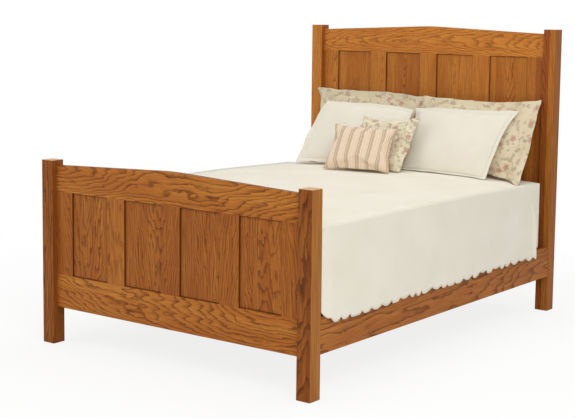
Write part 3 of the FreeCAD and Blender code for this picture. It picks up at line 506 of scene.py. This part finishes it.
def floral_cotton(name, light, deep, strength):
    """Sage-beige cotton printed with scattered five-petalled blooms, buds and leaves."""
    finish = Finish(name, 0.82, **COTTON)
    cloth = finish.cloth_place()
    weave = finish.noise(cloth, 1100.0, 1.0)
    wide = finish.noise(cloth, 9.0, 3.0)
    ground = finish.mottled(wide, stain(*light), stain(*deep))
    wobble = finish.shift(finish.noise(cloth, 60.0, 2.0, colour=True), (0.012, 0.012, 0.0))
    drawn = finish.vector("ADD", cloth, wobble)

    def motifs(density, shift, petals, size, notch, kept_share):
        """How far inside a motif a point is, one motif to a cell, and the cell's own colour."""
        where = finish.put("Mapping", drawn, shift, (0.0, 0.0, 0.4), (density, density, 1.0))
        cell = finish.node("TexVoronoi", Vector=where, Scale=1.0)
        cell.voronoi_dimensions = "2D"
        away = finish.vector("SUBTRACT", where, cell.outputs["Position"])
        parts = finish.parts(away)
        chance = finish.node("SeparateColor", Color=cell.outputs["Color"])
        angle = finish.math("ARCTAN2", parts["Y"], parts["X"])
        angle = finish.plus(angle, finish.times(chance.outputs[0], 6.28))
        lobes = finish.math("ABSOLUTE", finish.math("COSINE", finish.times(angle, petals / 2)))
        reach = finish.times(finish.plus(finish.times(lobes, notch), 1 - notch), size)
        kept = finish.math("LESS_THAN", chance.outputs[1], kept_share)
        inside = finish.math("DIVIDE", cell.outputs["Distance"], reach)
        return finish.times(finish.between(inside, 0.8, 1.05, 1.0, 0.0), kept), inside, chance.outputs[2]

    stem = finish.math("ABSOLUTE", finish.minus(finish.noise(drawn, 7.0, 1.0), 0.5))
    stem = finish.times(finish.between(stem, 0.004, 0.009, 1.0, 0.0),
                       finish.between(finish.noise(cloth, 5.0, 1.0), 0.48, 0.56))
    leaf, _, leaf_kind = motifs(24.0, (0.31, 0.62, 0.0), 2, 0.42, 0.85, 0.60)
    bloom, bloom_in, bloom_kind = motifs(11.0, (0.0, 0.0, 0.0), 5, 0.25, 0.4, 0.66)
    bud, _, _ = motifs(26.0, (0.77, 0.13, 0.0), 3, 0.24, 0.4, 0.50)
    green = finish.mix(leaf_kind, stain(142, 134, 104), stain(170, 158, 128))
    colour = finish.mix(finish.times(stem, 0.55 * strength), ground, stain(160, 140, 108))
    colour = finish.mix(finish.times(leaf, 0.70 * strength), colour, green)
    colour = finish.mix(finish.times(bud, 0.6 * strength), colour, stain(184, 142, 112))
    rose = finish.mix(bloom_in, stain(152, 92, 72), stain(204, 160, 136))
    rose = finish.mix(finish.math("LESS_THAN", bloom_kind, 0.35), rose, stain(186, 166, 150))
    colour = finish.mix(finish.times(bloom, 0.8 * strength), colour, rose)
    return finish.finish(colour, None, weave, depth=0.0003, strength=0.5)


def striped_cotton():
    """Beige cotton with groups of narrow rose, brown and mauve stripes up the cushion."""
    finish = Finish("striped cotton", 0.84, **COTTON)
    cloth = finish.cloth_place()
    parts = finish.parts(cloth)
    repeat = finish.math("FRACT", finish.times(parts["X"], 1 / STRIPE_REPEAT))
    ground, pale, blush = stain(224, 205, 176), stain(231, 217, 191), stain(220, 187, 165)
    brown, mauve = stain(154, 121, 101), stain(178, 138, 125)
    bands = ((0.00, brown), (0.06, ground), (0.11, mauve), (0.16, ground), (0.20, brown), (0.27, ground),
             (0.32, mauve), (0.36, pale), (0.47, blush), (0.52, ground), (0.60, blush), (0.64, pale),
             (0.73, blush), (0.78, ground), (0.86, blush), (0.90, ground))
    colour = finish.ramp(repeat, *bands, interpolation="CONSTANT")
    thread = finish.noise(cloth, (900.0, 120.0, 1.0), detail=2.0)
    colour = finish.mix(finish.between(thread, 0.3, 0.7, 0.0, 0.35), colour, ground)
    return finish.finish(colour, None, thread, depth=0.0004, strength=0.6)


def knit():
    """White stretch knit of the mattress."""
    finish = Finish("mattress knit", 0.8, **SMOOTH_COTTON)
    place = finish.object_place()
    ribs = finish.noise(place, (1200.0, 300.0, 1200.0), detail=1.0)
    wide = finish.noise(place, 5.0, 2.0)
    colour = finish.mottled(wide, stain(240, 239, 234), stain(230, 228, 221))
    return finish.finish(colour, None, ribs, depth=0.0005, strength=0.5)


def ticking():
    """Grey and ivory ticking of the foundation."""
    finish = Finish("ticking", 0.85, Specular_IOR_Level=0.25)
    place = finish.object_place()
    parts = finish.parts(place)
    run = finish.plus(parts["X"], parts["Y"])
    repeat = finish.math("FRACT", finish.times(run, 1 / TICKING_REPEAT))
    ivory, grey = stain(226, 222, 210), stain(128, 134, 142)
    colour = finish.ramp(repeat, (0.0, ivory), (0.30, grey), (0.34, ivory), (0.40, grey), (0.52, ivory), (0.58, grey),
                         (0.62, ivory), interpolation="CONSTANT")
    weave = finish.noise(place, 1100.0, 1.0)
    colour = finish.mix(finish.between(weave, 0.3, 0.7, 0.0, 0.2), colour, ivory)
    return finish.finish(colour, None, weave, depth=0.0004, strength=0.5)


def tape(name, tint, shade):
    """Ribbed binding tape."""
    finish = Finish(name, 0.75, Specular_IOR_Level=0.3)
    ribs = finish.noise(finish.object_place(), 1500.0, 1.0)
    return finish.finish(finish.mottled(ribs, tint, shade), None, ribs, 0.0004, 0.6)


# ---- mesh helpers
def placed(name, data):
    """A new object in the scene."""
    thing = bpy.data.objects.new(name, data)
    bpy.context.scene.collection.objects.link(thing)
    return thing


def add_piece(name, work, materials, smooth=True):
    """A finished bmesh as an object in the scene."""
    mesh = bpy.data.meshes.new(name)
    bmesh.ops.recalc_face_normals(work, faces=work.faces)
    work.to_mesh(mesh)
    work.free()
    for material in materials:
        mesh.materials.append(material)
    if smooth:
        mesh.shade_smooth()
    return placed(name, mesh)


def soften(piece):
    """One live subdivision."""
    modifier = piece.modifiers.new("softer", "SUBSURF")
    modifier.levels = modifier.render_levels = 1


def flat_grid(width, length, columns, rows):
    """A flat sheet of small faces round the origin."""
    work = bmesh.new()
    bmesh.ops.create_grid(work, x_segments=columns, y_segments=rows, size=0.5)
    for point in work.verts:
        point.co.x *= width
        point.co.y *= length
    return work


def grow(work, rim):
    """Extrudes an open rim in place: the new rim and its points."""
    grown = bmesh.ops.extrude_edge_only(work, edges=rim)["geom"]
    rim = [item for item in grown if isinstance(item, bmesh.types.BMEdge) and item.is_boundary]
    return rim, rim_points(rim)


def rim_points(rim):
    """The points of an open rim."""
    return {point for link in rim for point in link.verts}


def cloth_map(work):
    """Cloth coordinates from where each point lies in the flat piece, in metres."""
    layer = work.loops.layers.uv.new("cloth")
    for face in work.faces:
        for loop in face.loops:
            loop[layer].uv = loop.vert.co.xy


def sway(place, size, seed):
    """Smooth noise from -1 to 1."""
    return noise.noise(Vector(place) / size + Vector((seed * 7.31, seed * 3.17, seed * 1.93)))


def clamp(value):
    """The value, kept between 0 and 1."""
    return min(1.0, max(0.0, value))


def ease(value):
    """A soft step from 0 to 1."""
    value = clamp(value)
    return value * value * (3 - 2 * value)


def blend(first, second, share):
    """From first to second by share."""
    return first + (second - first) * share


# ---- coverlet
def fall_across(run, half, tight):
    """Outer face of the coverlet at run from the middle: x, height and share of the side drop.

    Where tight is 0 the side hangs over the rail; where it is 1 it hugs the mattress and ends above the rail."""
    shoulder = blend(SHOULDER, TIGHT_SHOULDER, tight)
    side_high = blend(SIDE_HIGH, TIGHT_SIDE, tight)
    side_low = blend(SIDE_LOW, TIGHT_SIDE, tight)
    shelf = side_high - shoulder
    quarter = shoulder * math.pi / 2
    shelf_z = COVER_TOP - CROWN * (shelf / MATTRESS_HALF) ** 2
    if run <= shelf:
        return run, COVER_TOP - CROWN * (run / MATTRESS_HALF) ** 2, 0.0
    if run <= shelf + quarter:
        angle = (run - shelf) / shoulder
        return shelf + shoulder * math.sin(angle), shelf_z - shoulder * (1 - math.cos(angle)), 0.0
    share = (run - shelf - quarter) / (half - shelf - quarter)
    return blend(side_high, side_low, share), blend(shelf_z - shoulder, HEM, share), share


def hem_height(y):
    """Height of the scalloped hem above its lowest line."""
    phase = (y - DROP_FOOT_Y) / (HEAD_Y - DROP_FOOT_Y) * SCALLOPS + 0.55 * sway((0, y, 0), 0.13, 2)
    inside = 2 * (phase % 1.0) ** 0.8 - 1
    depth = SCALLOP_DEPTH * (1 + 0.9 * sway((0, 1.37 * math.floor(phase), 0), 0.7, 5))
    scallop = SCALLOP_DEPTH - depth * (1 - abs(inside) ** 1.7)
    reach = clamp((DROP_FOOT_Y + HEM_CORNER - y) / HEM_CORNER)
    return blend(scallop, 0.005, reach) + HEM_RISE * reach ** 2 + 0.010 * sway((0, y, 0), 0.30, 3)


def corner_sag(x, y):
    """How far the bed's top has given way towards its two head corners."""
    return HEAD_SAG * ease((abs(x) - 0.35) / 0.42) * ease((y - 0.10) / 0.85)


def coverlet_sheet(half, length):
    """The cloth laid flat, its foot corners cut out for the posts: its mesh, its area and where the drops end."""
    work = bmesh.new()
    bmesh.ops.create_grid(work, x_segments=110, y_segments=380, size=0.5)
    for point in work.verts:
        out = abs(2 * point.co.x)
        for (near, near_run), (far, far_run) in zip(COLUMN_SHARES, COLUMN_SHARES[1:]):
            if near - 1e-6 <= out <= far + 1e-6:
                run = half * blend(near_run, far_run, (out - near) / (far - near))
        point.co.x = math.copysign(run, point.co.x)
        point.co.y = HEAD_Y - length * (0.5 - point.co.y)
    cloth_map(work)
    gone = [face for face in work.faces
            if face.calc_center_median().y < FOOT_Y and abs(face.calc_center_median().x) > TUCK_HALF]
    area = 2 * half * length - sum(face.calc_area() for face in gone)
    bmesh.ops.delete(work, geom=gone, context="FACES")
    last = min(point.co.y for point in work.verts if abs(point.co.x) > TUCK_HALF + 0.03)
    return work, area, last


def coverlet():
    """The coverlet: a crowned top, two side drops with a scalloped hem and a tuck at the foot."""
    shelf = SIDE_HIGH - SHOULDER
    half = shelf + SHOULDER * math.pi / 2 + COVER_TOP - CROWN * (shelf / MATTRESS_HALF) ** 2 - SHOULDER - HEM
    turn_start = FOOT_Y - FOOT_GAP + FOOT_TURN
    quarter = FOOT_TURN * math.pi / 2
    length = HEAD_Y - turn_start + quarter + TUCK - FOOT_TURN
    work, area, last = coverlet_sheet(half, length)
    for point in work.verts:
        run, y = abs(point.co.x), point.co.y
        way = math.copysign(1, point.co.x)
        fallen = clamp((run - shelf) / (half - shelf))
        fold_line = HEAD_FOLD - FOLD_LEAN * (1 - ease(1.6 * fallen))
        tight = ease((y - fold_line) / FOLD_WIDTH)
        x, z, share = fall_across(run, half, tight)
        # At the foot the middle turns down into the tuck, while the sides run on to the foot posts.
        if y < turn_start:
            tucked = 1 - ease((run - TUCK_HALF) / TUCK_FADE)
            angle = min((turn_start - y) / FOOT_TURN, math.pi / 2)
            z -= tucked * (FOOT_TURN * (1 - math.cos(angle)) + max(0.0, turn_start - y - quarter))
            reached = blend(turn_start, DROP_FOOT_Y, min(1.0, (turn_start - y) / (turn_start - last)))
            y = blend(reached, turn_start - FOOT_TURN * math.sin(angle), tucked)
        # The sides get their hem, folds and pleat and stay behind the foot post's face, and the top gets its rumples.
        if run > shelf:
            lift = max(hem_height(y), (RAIL_TOP - HEM + RAIL_GAP) * ease((y - fold_line) / HEM_STEP + 1))
            z += lift * ease((share - 0.75) / 0.25)
            folds = FOLDS * (sway((0, y, 0.3 * z), 0.16, way) + sway((0, y, 0.2 * z), 0.42, way + 4))
            pleat = PLEAT_DEPTH * math.exp(-((y - fold_line) / PLEAT_WIDTH + 1) ** 2)
            x += (1 - tight) * (ease(share * 1.5) * (folds + 0.002) + pleat * ease(share * 3))
            x = max(x, blend(SIDE_HIGH + 0.001, TIGHT_SIDE, tight))
            x = blend(min(x, POST_FACE), x, ease((y - DROP_FOOT_Y) / 0.07))
        else:
            z -= RUMPLE * (1 + sway((x * way, y, 0), 0.24, 9)) * ease((shelf - run) / 0.10)
        z -= corner_sag(x, y) * (1 - ease(share * 2))
        point.co = Vector((way * x, y, z))
    piece = add_piece("coverlet_cloth", work, [matelasse()])
    thickness = piece.modifiers.new("thickness", "SOLIDIFY")
    thickness.thickness = COVER_THICK
    thickness.offset = -1.0
    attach(piece, "coverlet")
    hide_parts("coverlet")


# ---- mattress and foundation
def block_shell(width, length, height, edge, rows):
    """A closed box with rounded upper and lower edges, hanging down from height 0."""
    work = flat_grid(width - 2 * edge, length - 2 * edge, 76, 100)
    rim = [link for link in work.edges if link.is_boundary]
    turns = [math.pi / 8 * step for step in range(5)]
    profile = [(edge * math.sin(turn), edge * (1 - math.cos(turn))) for turn in turns[1:]]
    profile += [(edge, edge + (height - 2 * edge) * row / rows) for row in range(1, rows)]
    profile += [(edge * math.cos(turn), height - edge * (1 - math.sin(turn))) for turn in turns]
    inner_x, inner_y = width / 2 - edge, length / 2 - edge
    for out, down in profile:
        rim, points = grow(work, rim)
        for point in points:
            flat_x = max(-inner_x, min(inner_x, point.co.x))
            flat_y = max(-inner_y, min(inner_y, point.co.y))
            point.co = Vector((flat_x, flat_y, -down))
            point.co += Vector((math.copysign(out, flat_x) if abs(flat_x) > inner_x - 1e-4 else 0.0,
                                math.copysign(out, flat_y) if abs(flat_y) > inner_y - 1e-4 else 0.0, 0.0))
    bmesh.ops.contextual_create(work, geom=rim)
    return work


def upholstered_block(name, low, high, cover, binding, corner, edge, crown, quilt, rows):
    """A sprung block: quilted or plain top, border with channels, and bound edges.

    corner is the radius seen from above and edge the radius of the top and bottom edges. quilt is the spacing of
    the stitched lozenges, and rows the faces up the border."""
    width, length, height = high - low
    centre = (low + high) / 2
    work = block_shell(width, length, height, edge, rows)
    limit_x, limit_y = width / 2 - corner, length / 2 - corner
    for point in work.verts:
        x, y, drop = point.co.x, point.co.y, -point.co.z
        over_x, over_y = abs(x) - limit_x, abs(y) - limit_y
        if over_x > 0 and over_y > 0:
            bend = Vector((over_x, over_y)).normalized() * max(over_x, over_y)
            x, y = math.copysign(limit_x + bend.x, x), math.copysign(limit_y + bend.y, y)
        if drop < edge * 0.6:
            sunk = crown * (2 * x / width) ** 2
            if quilt:
                stitch = min(abs(math.sin(math.pi * (x + way * y) / quilt)) for way in (1, -1))
                sunk += QUILT_DEPTH * max(0.0, 1 - stitch / QUILT_SEAM)
            drop += sunk * (1 - drop / edge)
        elif drop < height - edge:
            share = clamp((drop - edge) / (height - 2 * edge))
            inward = CHANNEL_DEPTH * (1 - abs(math.sin(math.pi * CHANNELS * share)) ** 0.5)
            normal = Vector((x / width, y / length)).normalized()
            x, y = x - normal.x * inward, y - normal.y * inward
        point.co = Vector((x, y, -drop))
    bmesh.ops.translate(work, verts=work.verts, vec=Vector((centre.x, centre.y, high.z)))
    piece = add_piece(name, work, [cover])
    bands = []
    for level, word in ((high.z - edge * 0.75, "upper"), (low.z + edge * 0.75, "lower")):
        bands.append(binding_cord("%s_%s_tape" % (name, word), low, high, corner, level, binding))
    return piece, bands


def binding_cord(name, low, high, corner, level, material):
    """A bound edge: a round cord along a rounded rectangle."""
    centre = (low + high) / 2
    work = bmesh.new()
    bmesh.ops.create_circle(work, segments=10, radius=CORD_RADIUS)
    bmesh.ops.rotate(work, verts=work.verts, matrix=Matrix.Rotation(math.radians(90), 3, "X"))
    straight_x, straight_y = (high.x - low.x) / 2 - CORD_SINK - corner, (high.y - low.y) / 2 - CORD_SINK - corner
    path = []
    for quarter, (way_x, way_y) in enumerate(((1, 1), (-1, 1), (-1, -1), (1, -1))):
        for step in range(9):
            angle = math.radians(90 * quarter + 90 * step / 8)
            path.append((Vector((centre.x + way_x * straight_x + corner * math.cos(angle),
                                 centre.y + way_y * straight_y + corner * math.sin(angle), level)), angle))
    first_ring = ring = list(work.edges)
    points = rim_points(ring)
    last_place, last_turn = Vector(), Matrix.Identity(3)
    for index, (place, angle) in enumerate(path):
        if index:
            ring, points = grow(work, ring)
        turn = Matrix.Rotation(angle, 3, "Z")
        for point in points:
            point.co = place + turn @ (last_turn.inverted() @ (point.co - last_place))
        last_place, last_turn = place, turn
    bmesh.ops.bridge_loops(work, edges=first_ring + ring)
    return add_piece(name, work, [material])


def bed_base():
    """Foundation and mattress under the coverlet."""
    grey_tape = tape("grey tape", stain(150, 154, 160), stain(132, 136, 142))
    white_tape = tape("white tape", stain(232, 230, 224), stain(214, 212, 206))
    trim = Vector((0.001, 0.001, 0.0))
    for node, name, slot, cover, binding, shape in (
            ("box_spring", "foundation", "ticking", ticking(), grey_tape,
             {"corner": 0.030, "edge": 0.012, "crown": 0.0, "quilt": 0.0, "rows": 5}),
            ("mattress", "mattress_pad", "mattress_knit", knit(), white_tape,
             {"corner": 0.060, "edge": 0.042, "crown": 0.010, "quilt": 0.16, "rows": 9})):
        low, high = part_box(node)
        piece, bands = upholstered_block(name, low + trim, high - trim, cover, binding, **shape)
        if node == "mattress":
            for part in [piece] + bands:
                for point in part.data.vertices:
                    share = (point.co.z - low.z) / (high.z - low.z)
                    point.co.z -= corner_sag(point.co.x, point.co.y) * clamp(share)
        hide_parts(node)
        for part in [piece] + bands:
            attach(part, node)


# ---- pillows and cushions
def sewn_shell(width, height, flange, loft):
    """Two layers of cloth sewn round the seam, lying flat, with a single-layer flange outside the seam."""
    columns, rows = round(width / SHELL_CELL), round(height / SHELL_CELL)
    work = flat_grid(width, height, columns, rows)
    half_x = width / 2 - round(flange / (width / columns)) * width / columns
    half_y = height / 2 - round(flange / (height / rows)) * height / rows
    cloth_map(work)
    inner = [face for face in work.faces
             if abs(face.calc_center_median().x) < half_x and abs(face.calc_center_median().y) < half_y]
    copied = bmesh.ops.duplicate(work, geom=inner)["geom"]
    back = [item for item in copied if isinstance(item, bmesh.types.BMFace)]
    for face in back:
        face.material_index = 1
    bmesh.ops.reverse_faces(work, faces=back)
    back_points = {point for face in back for point in face.verts}
    inner_points = {point for face in inner for point in face.verts}
    for points, way in ((back_points, -1), (inner_points, 1)):
        for point in points:
            share_x, share_y = abs(point.co.x) / half_x, abs(point.co.y) / half_y
            if share_x < 1 - 1e-4 and share_y < 1 - 1e-4:
                full = (1 - share_x ** 2.6) ** 0.6 * (1 - share_y ** 2.6) ** 0.6
                point.co.z = way * (0.001 + full * loft * 0.36)
    bmesh.ops.remove_doubles(work, verts=work.verts, dist=1e-5)
    return work, half_x, half_y


def puff(piece, group, pressure=4.0, steps=22):
    """Blows a sewn shell up as cloth, with no gravity, and keeps each point within PUFF_CAP of where it was."""
    scene = bpy.context.scene
    start = [point.co.copy() for point in piece.data.vertices]
    modifier = piece.modifiers.new("filling", "CLOTH")
    settings = modifier.settings
    settings.quality = 7
    settings.mass = 0.25
    settings.tension_stiffness = 18.0
    settings.compression_stiffness = 12.0
    settings.shear_stiffness = 4.0
    settings.bending_stiffness = 0.15
    settings.shrink_min = -0.035
    settings.use_pressure = True
    settings.uniform_pressure_force = pressure
    settings.vertex_group_pressure = group
    settings.effector_weights.gravity = 0.0
    modifier.point_cache.frame_start = 1
    modifier.point_cache.frame_end = steps
    for number in range(1, steps + 1):
        scene.frame_set(number)
    shape = piece.evaluated_get(bpy.context.evaluated_depsgraph_get()).data
    ended = [point.co.copy() for point in shape.vertices]
    piece.modifiers.remove(modifier)
    for point, first, last in zip(piece.data.vertices, start, ended):
        move = last - first
        point.co = first + move * min(1.0, PUFF_CAP / max(move.length, 1e-6))
    scene.frame_set(1)


def filled_shell(name, materials, width, height, flange, loft, seed):
    """A shell sewn, filled and brought to its width, height and loft, and half its width and height at the seam."""
    work, half_x, half_y = sewn_shell(width, height, flange, loft)
    for point in work.verts:
        point.co.z += SHELL_WRINKLE * sway(point.co, 0.035, seed)
    piece = add_piece(name + "_cover_flat", work, materials)
    group = piece.vertex_groups.new(name="body")
    body = [point.index for point in piece.data.vertices
            if abs(point.co.x) < half_x + 1e-4 and abs(point.co.y) < half_y + 1e-4]
    group.add(body, 1.0, "REPLACE")
    puff(piece, group.name)
    spans = [2 * max(abs(point.co[axis]) for point in piece.data.vertices) for axis in range(3)]
    work = bmesh.new()
    work.from_mesh(piece.data)
    bpy.data.objects.remove(piece)
    for point in work.verts:
        point.co = Vector((point.co.x * width / spans[0], point.co.y * height / spans[1],
                           point.co.z * loft / spans[2]))
    if flange:
        thicken_flange(work)
    return work, half_x, half_y


def bed_top(x, y):
    """Height of the coverlet's top at a place on the bed."""
    over = max(0.0, abs(x) - (SIDE_HIGH - SHOULDER))
    drop = SHOULDER - math.sqrt(max(0.0, SHOULDER ** 2 - min(over, SHOULDER) ** 2))
    return COVER_TOP - CROWN * (min(abs(x), MATTRESS_HALF) / MATTRESS_HALF) ** 2 - drop - corner_sag(x, y)


def give_way(room, reach):
    """The room left before something firm: within reach it shrinks ever more slowly, and never to nothing."""
    return room if room >= reach else reach * math.exp((room - reach) / reach)


def pillow(node, slot, materials, width, height, flange, loft, lean, drift, x, y, seed, droop=0.0, swing=0.0,
           belly=0.0, top_line=(0.0, 0.0, 0.0), left_reach=(0.0, 0.0), right_reach=(0.0, 0.0)):
    """A pillow or cushion, filled, then tipped back by lean degrees and stood on the coverlet at x, y.

    drift slides its top sideways and droop pulls down its lower outer corner. swing turns it, and belly rounds
    its lower edge. top_line lifts its left corner, middle and right corner. left_reach and right_reach move
    its left and right sides outwards, in the lower half and at the top."""
    work, half_x, half_y = filled_shell(node, materials, width, height, flange, loft, seed)
    tilt = math.radians(lean)
    left, middle, right = top_line
    for point in work.verts:
        u, v, out = point.co
        up = v + height / 2
        share = up / height
        across = 2 * u / width
        # The filling has sunk towards the lower half, and edge grows from the seam to the flange's hem.
        out *= blend(1.12, 0.88, share)
        edge = max(abs(u) - half_x, abs(v) - half_y, 0.0) / max(flange, 0.001)
        out += edge * FLANGE_WAVE * (2 - share) * sway((u, v, 0), 0.09, seed + 1)
        line = middle * (1 - across ** 2) + (left if across < 0 else right) * across ** 2
        up += line * share + edge * 0.004 * sway((u, v, 0), 0.07, seed + 2) * share
        up += edge * FLANGE_RIPPLE * max(0.0, 1 - 3 * share) ** 2 * max(0.0, sway((u, 0, 0), 0.055, seed + 3))
        up -= belly * (1 - across ** 2) * max(0.0, 1 - 2.2 * share) ** 2
        u += drift * (share - 0.5)
        for way, (low, top) in ((-1, left_reach), (1, right_reach)):
            u += way * blend(low, top, max(0.0, 2 * share - 1) ** 2) * ease(way * across * 1.2)
        place = Vector((x + u, y + swing * u + up * math.sin(tilt) - out * math.cos(tilt),
                        up * math.cos(tilt) + out * math.sin(tilt)))
        place.z += bed_top(place.x, place.y) + share * corner_sag(place.x, place.y)
        # A sham's lower outer corner hangs over the bed's shoulder.
        outer = ease((abs(place.x) - 0.62) / 0.12) * ease(1 - share * 3)
        place.x += math.copysign(0.20 * droop * outer, place.x)
        place.y -= droop * outer
        place.z -= 0.30 * droop * outer
        point.co = place
    for point in work.verts:
        wall = HEAD_POST_FACE if abs(point.co.x) > HEAD_POST_INNER else HEADBOARD_FACE
        point.co.y = wall - give_way(wall - point.co.y, WALL_STOP)
        floor = bed_top(point.co.x, point.co.y) + OFF_THE_BED
        point.co.z = floor + give_way(point.co.z - floor, BED_STOP)
    finished = add_piece(node + "_cover", work, materials)
    soften(finished)
    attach(finished, node)
    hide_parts(node)


def thicken_flange(work):
    """Splits the single-layer flange from the pillow, reaches it in under the seam and gives it thickness."""
    flap = set()
    waiting = [face for face in work.faces if any(link.is_boundary for link in face.edges)]
    while waiting:
        face = waiting.pop()
        if face in flap:
            continue
        flap.add(face)
        for link in face.edges:
            if len(link.link_faces) == 2:
                waiting += [other for other in link.link_faces if other not in flap]
    seam = {link for face in flap for link in face.edges if len(link.link_faces) == 3}
    seam_places = [sum((point.co for point in link.verts), Vector()) / 2 for link in seam]
    reach_x = max(abs(place.x) for place in seam_places)
    reach_y = max(abs(place.y) for place in seam_places)
    split = bmesh.ops.split(work, geom=list(flap))["geom"]
    faces = [item for item in split if isinstance(item, bmesh.types.BMFace)]
    points = {point for face in faces for point in face.verts}
    for point in points:
        if abs(point.co.x) < reach_x + 0.003 and abs(point.co.y) < reach_y + 0.003:
            point.co.x *= 1 - FLANGE_UNDER_SEAM / reach_x
            point.co.y *= 1 - FLANGE_UNDER_SEAM / reach_y
    bmesh.ops.solidify(work, geom=faces, thickness=FLANGE_THICK)


def bedding():
    """Shams against the headboard, pillows in front, then the two cushions."""
    cream, striped = cream_cotton(), striped_cotton()
    floral = floral_cotton("floral cotton", (219, 206, 178), (207, 194, 164), 0.82)
    pale_floral = floral_cotton("pale floral cotton", (232, 223, 200), (222, 211, 184), 0.75)
    sham = {"width": 0.730, "height": 0.450, "flange": 0.045, "loft": 0.100, "lean": 22.0, "drift": 0.010,
            "y": 0.8804}
    pillow("sham_left", "floral_cotton", [floral, floral], x=-0.370, seed=10, top_line=(0.020, 0.0, -0.022),
           left_reach=(-0.030, 0.026), **sham)
    pillow("sham_right", "floral_cotton", [floral, floral], x=0.370, seed=12, top_line=(-0.022, -0.034, 0.003),
           droop=0.095, **sham)
    plain = {"width": 0.590, "height": 0.395, "flange": 0.022, "loft": 0.100, "lean": 29.0, "drift": 0.050,
             "y": 0.7554}
    pillow("pillow_left", "cream_cotton", [cream, floral], x=-0.3075, seed=20, top_line=(0.0, -0.008, -0.034),
           left_reach=(0.048, 0.012), right_reach=(0.0, 0.004), **plain)
    pillow("pillow_right", "cream_cotton", [cream, floral], x=0.3075, seed=22, top_line=(-0.004, 0.012, 0.030),
           left_reach=(0.0, 0.045), right_reach=(-0.034, 0.012), **plain)
    pillow("floral_cushion", "floral_cotton", [pale_floral, pale_floral], width=0.395, height=0.356, flange=0.0,
           loft=0.080, lean=35.0, drift=0.0, x=-0.080, y=0.6354, seed=31, belly=0.010,
           top_line=(0.016, 0.0, 0.016))
    pillow("striped_cushion", "striped_cotton", [striped, striped], width=0.430, height=0.322, flange=0.0,
           loft=0.078, lean=39.0, drift=-0.056, x=-0.145, y=0.5254, seed=41, swing=0.12, belly=0.014,
           top_line=(-0.003, 0.0, -0.016), left_reach=(-0.007, -0.009), right_reach=(-0.006, -0.014))


# ---- light, floor and camera
def join_shaders(tree, share, first, second, output):
    """Leads two shaders to the output, the second by share."""
    joined = tree.nodes.new("ShaderNodeMixShader")
    for socket, source in zip(joined.inputs, (share, first.outputs[0], second.outputs[0])):
        tree.links.new(source, socket)
    tree.links.new(joined.outputs[0], tree.nodes[output].inputs[0])


def studio():
    """A pale floor, a white surround and soft lamps."""
    world = bpy.data.worlds.new("studio")
    bpy.context.scene.world = world
    world.use_nodes = True
    tree = world.node_tree
    glow = tree.nodes["Background"]
    glow.inputs["Color"].default_value = (1.0, 1.0, 0.99, 1.0)
    glow.inputs["Strength"].default_value = 0.46
    white = tree.nodes.new("ShaderNodeBackground")
    white.inputs["Color"].default_value = (1.0, 1.0, 1.0, 1.0)
    path = tree.nodes.new("ShaderNodeLightPath")
    seen = path.outputs["Is Camera Ray"]
    for ray in ("Is Glossy Ray", "Is Transmission Ray"):
        either = tree.nodes.new("ShaderNodeMath")
        either.operation = "MAXIMUM"
        tree.links.new(seen, either.inputs[0])
        tree.links.new(path.outputs[ray], either.inputs[1])
        seen = either.outputs[0]
    join_shaders(tree, seen, glow, white, "World Output")

    work = bmesh.new()
    bmesh.ops.create_circle(work, segments=64, radius=40.0, cap_ends=True)
    floor = add_piece("studio_floor", work, [floor_finish()], smooth=False)

    lamp("key", (4.5, -3.9, 5.0), 3.2, 197.0, (1.0, 0.99, 0.97))
    lamp("fill", (-4.5, -5.5, 3.4), 4.0, 92.0, (1.0, 0.99, 0.98))
    lamp("top", (0.0, 0.6, 5.5), 4.0, 92.0, (1.0, 1.0, 0.99))


def floor_finish():
    """White floor that takes the bed's shadow and fades to plain white further away."""
    finish = Finish("floor white")
    tree = finish.tree
    tree.nodes.remove(finish.shader)
    spread = tree.nodes.new("ShaderNodeBsdfDiffuse")
    spread.inputs["Color"].default_value = (0.94, 0.94, 0.94, 1.0)
    shine = tree.nodes.new("ShaderNodeEmission")
    shine.inputs["Color"].default_value = (1.0, 1.0, 1.0, 1.0)
    away = finish.vector("LENGTH", finish.object_place())
    share = finish.put("MapRange", away, 1.5, 3.2, 0.83, 1.0, interpolation_type="SMOOTHSTEP")
    share = finish.times(share, finish.put("LightPath"))
    join_shaders(tree, share, spread, shine, "Material Output")
    return finish.material


def lamp(name, place, size, power, tint):
    """A soft square lamp aimed at the bed: size in metres, power in watts."""
    data = bpy.data.lights.new(name, "AREA")
    data.size = size
    data.energy = power
    data.color = tint
    light = placed(name, data)
    light.location = place
    light.rotation_euler = (Vector((0.0, 0.0, 0.5)) - Vector(place)).to_track_quat("-Z", "Y").to_euler()


def camera():
    """The photograph's point of view."""
    frame_width = 575
    focal, yaw, pitch, roll = 1321.8, math.radians(37.126), math.radians(-6.611), math.radians(0.649)
    ahead = Vector((-math.sin(yaw) * math.cos(pitch), math.cos(yaw) * math.cos(pitch), math.sin(pitch)))
    right = Vector((math.cos(yaw), math.sin(yaw), 0.0))
    up = right.cross(ahead)
    right, up = (math.cos(roll) * right + math.sin(roll) * up, math.cos(roll) * up - math.sin(roll) * right)
    data = bpy.data.cameras.new("camera")
    data.sensor_width = 36.0
    data.lens = focal * data.sensor_width / frame_width
    data.shift_x, data.shift_y = 0.0014, -0.0855
    view = placed("camera", data)
    view.location = (3.9148, -5.4158, 1.6274)
    view.rotation_euler = Matrix((right, up, -ahead)).transposed().to_euler()
    bpy.context.scene.camera = view


camera()
dress_frame()
bed_base()
coverlet()
bedding()
studio()
bpy.context.scene.view_settings.view_transform = "Standard"
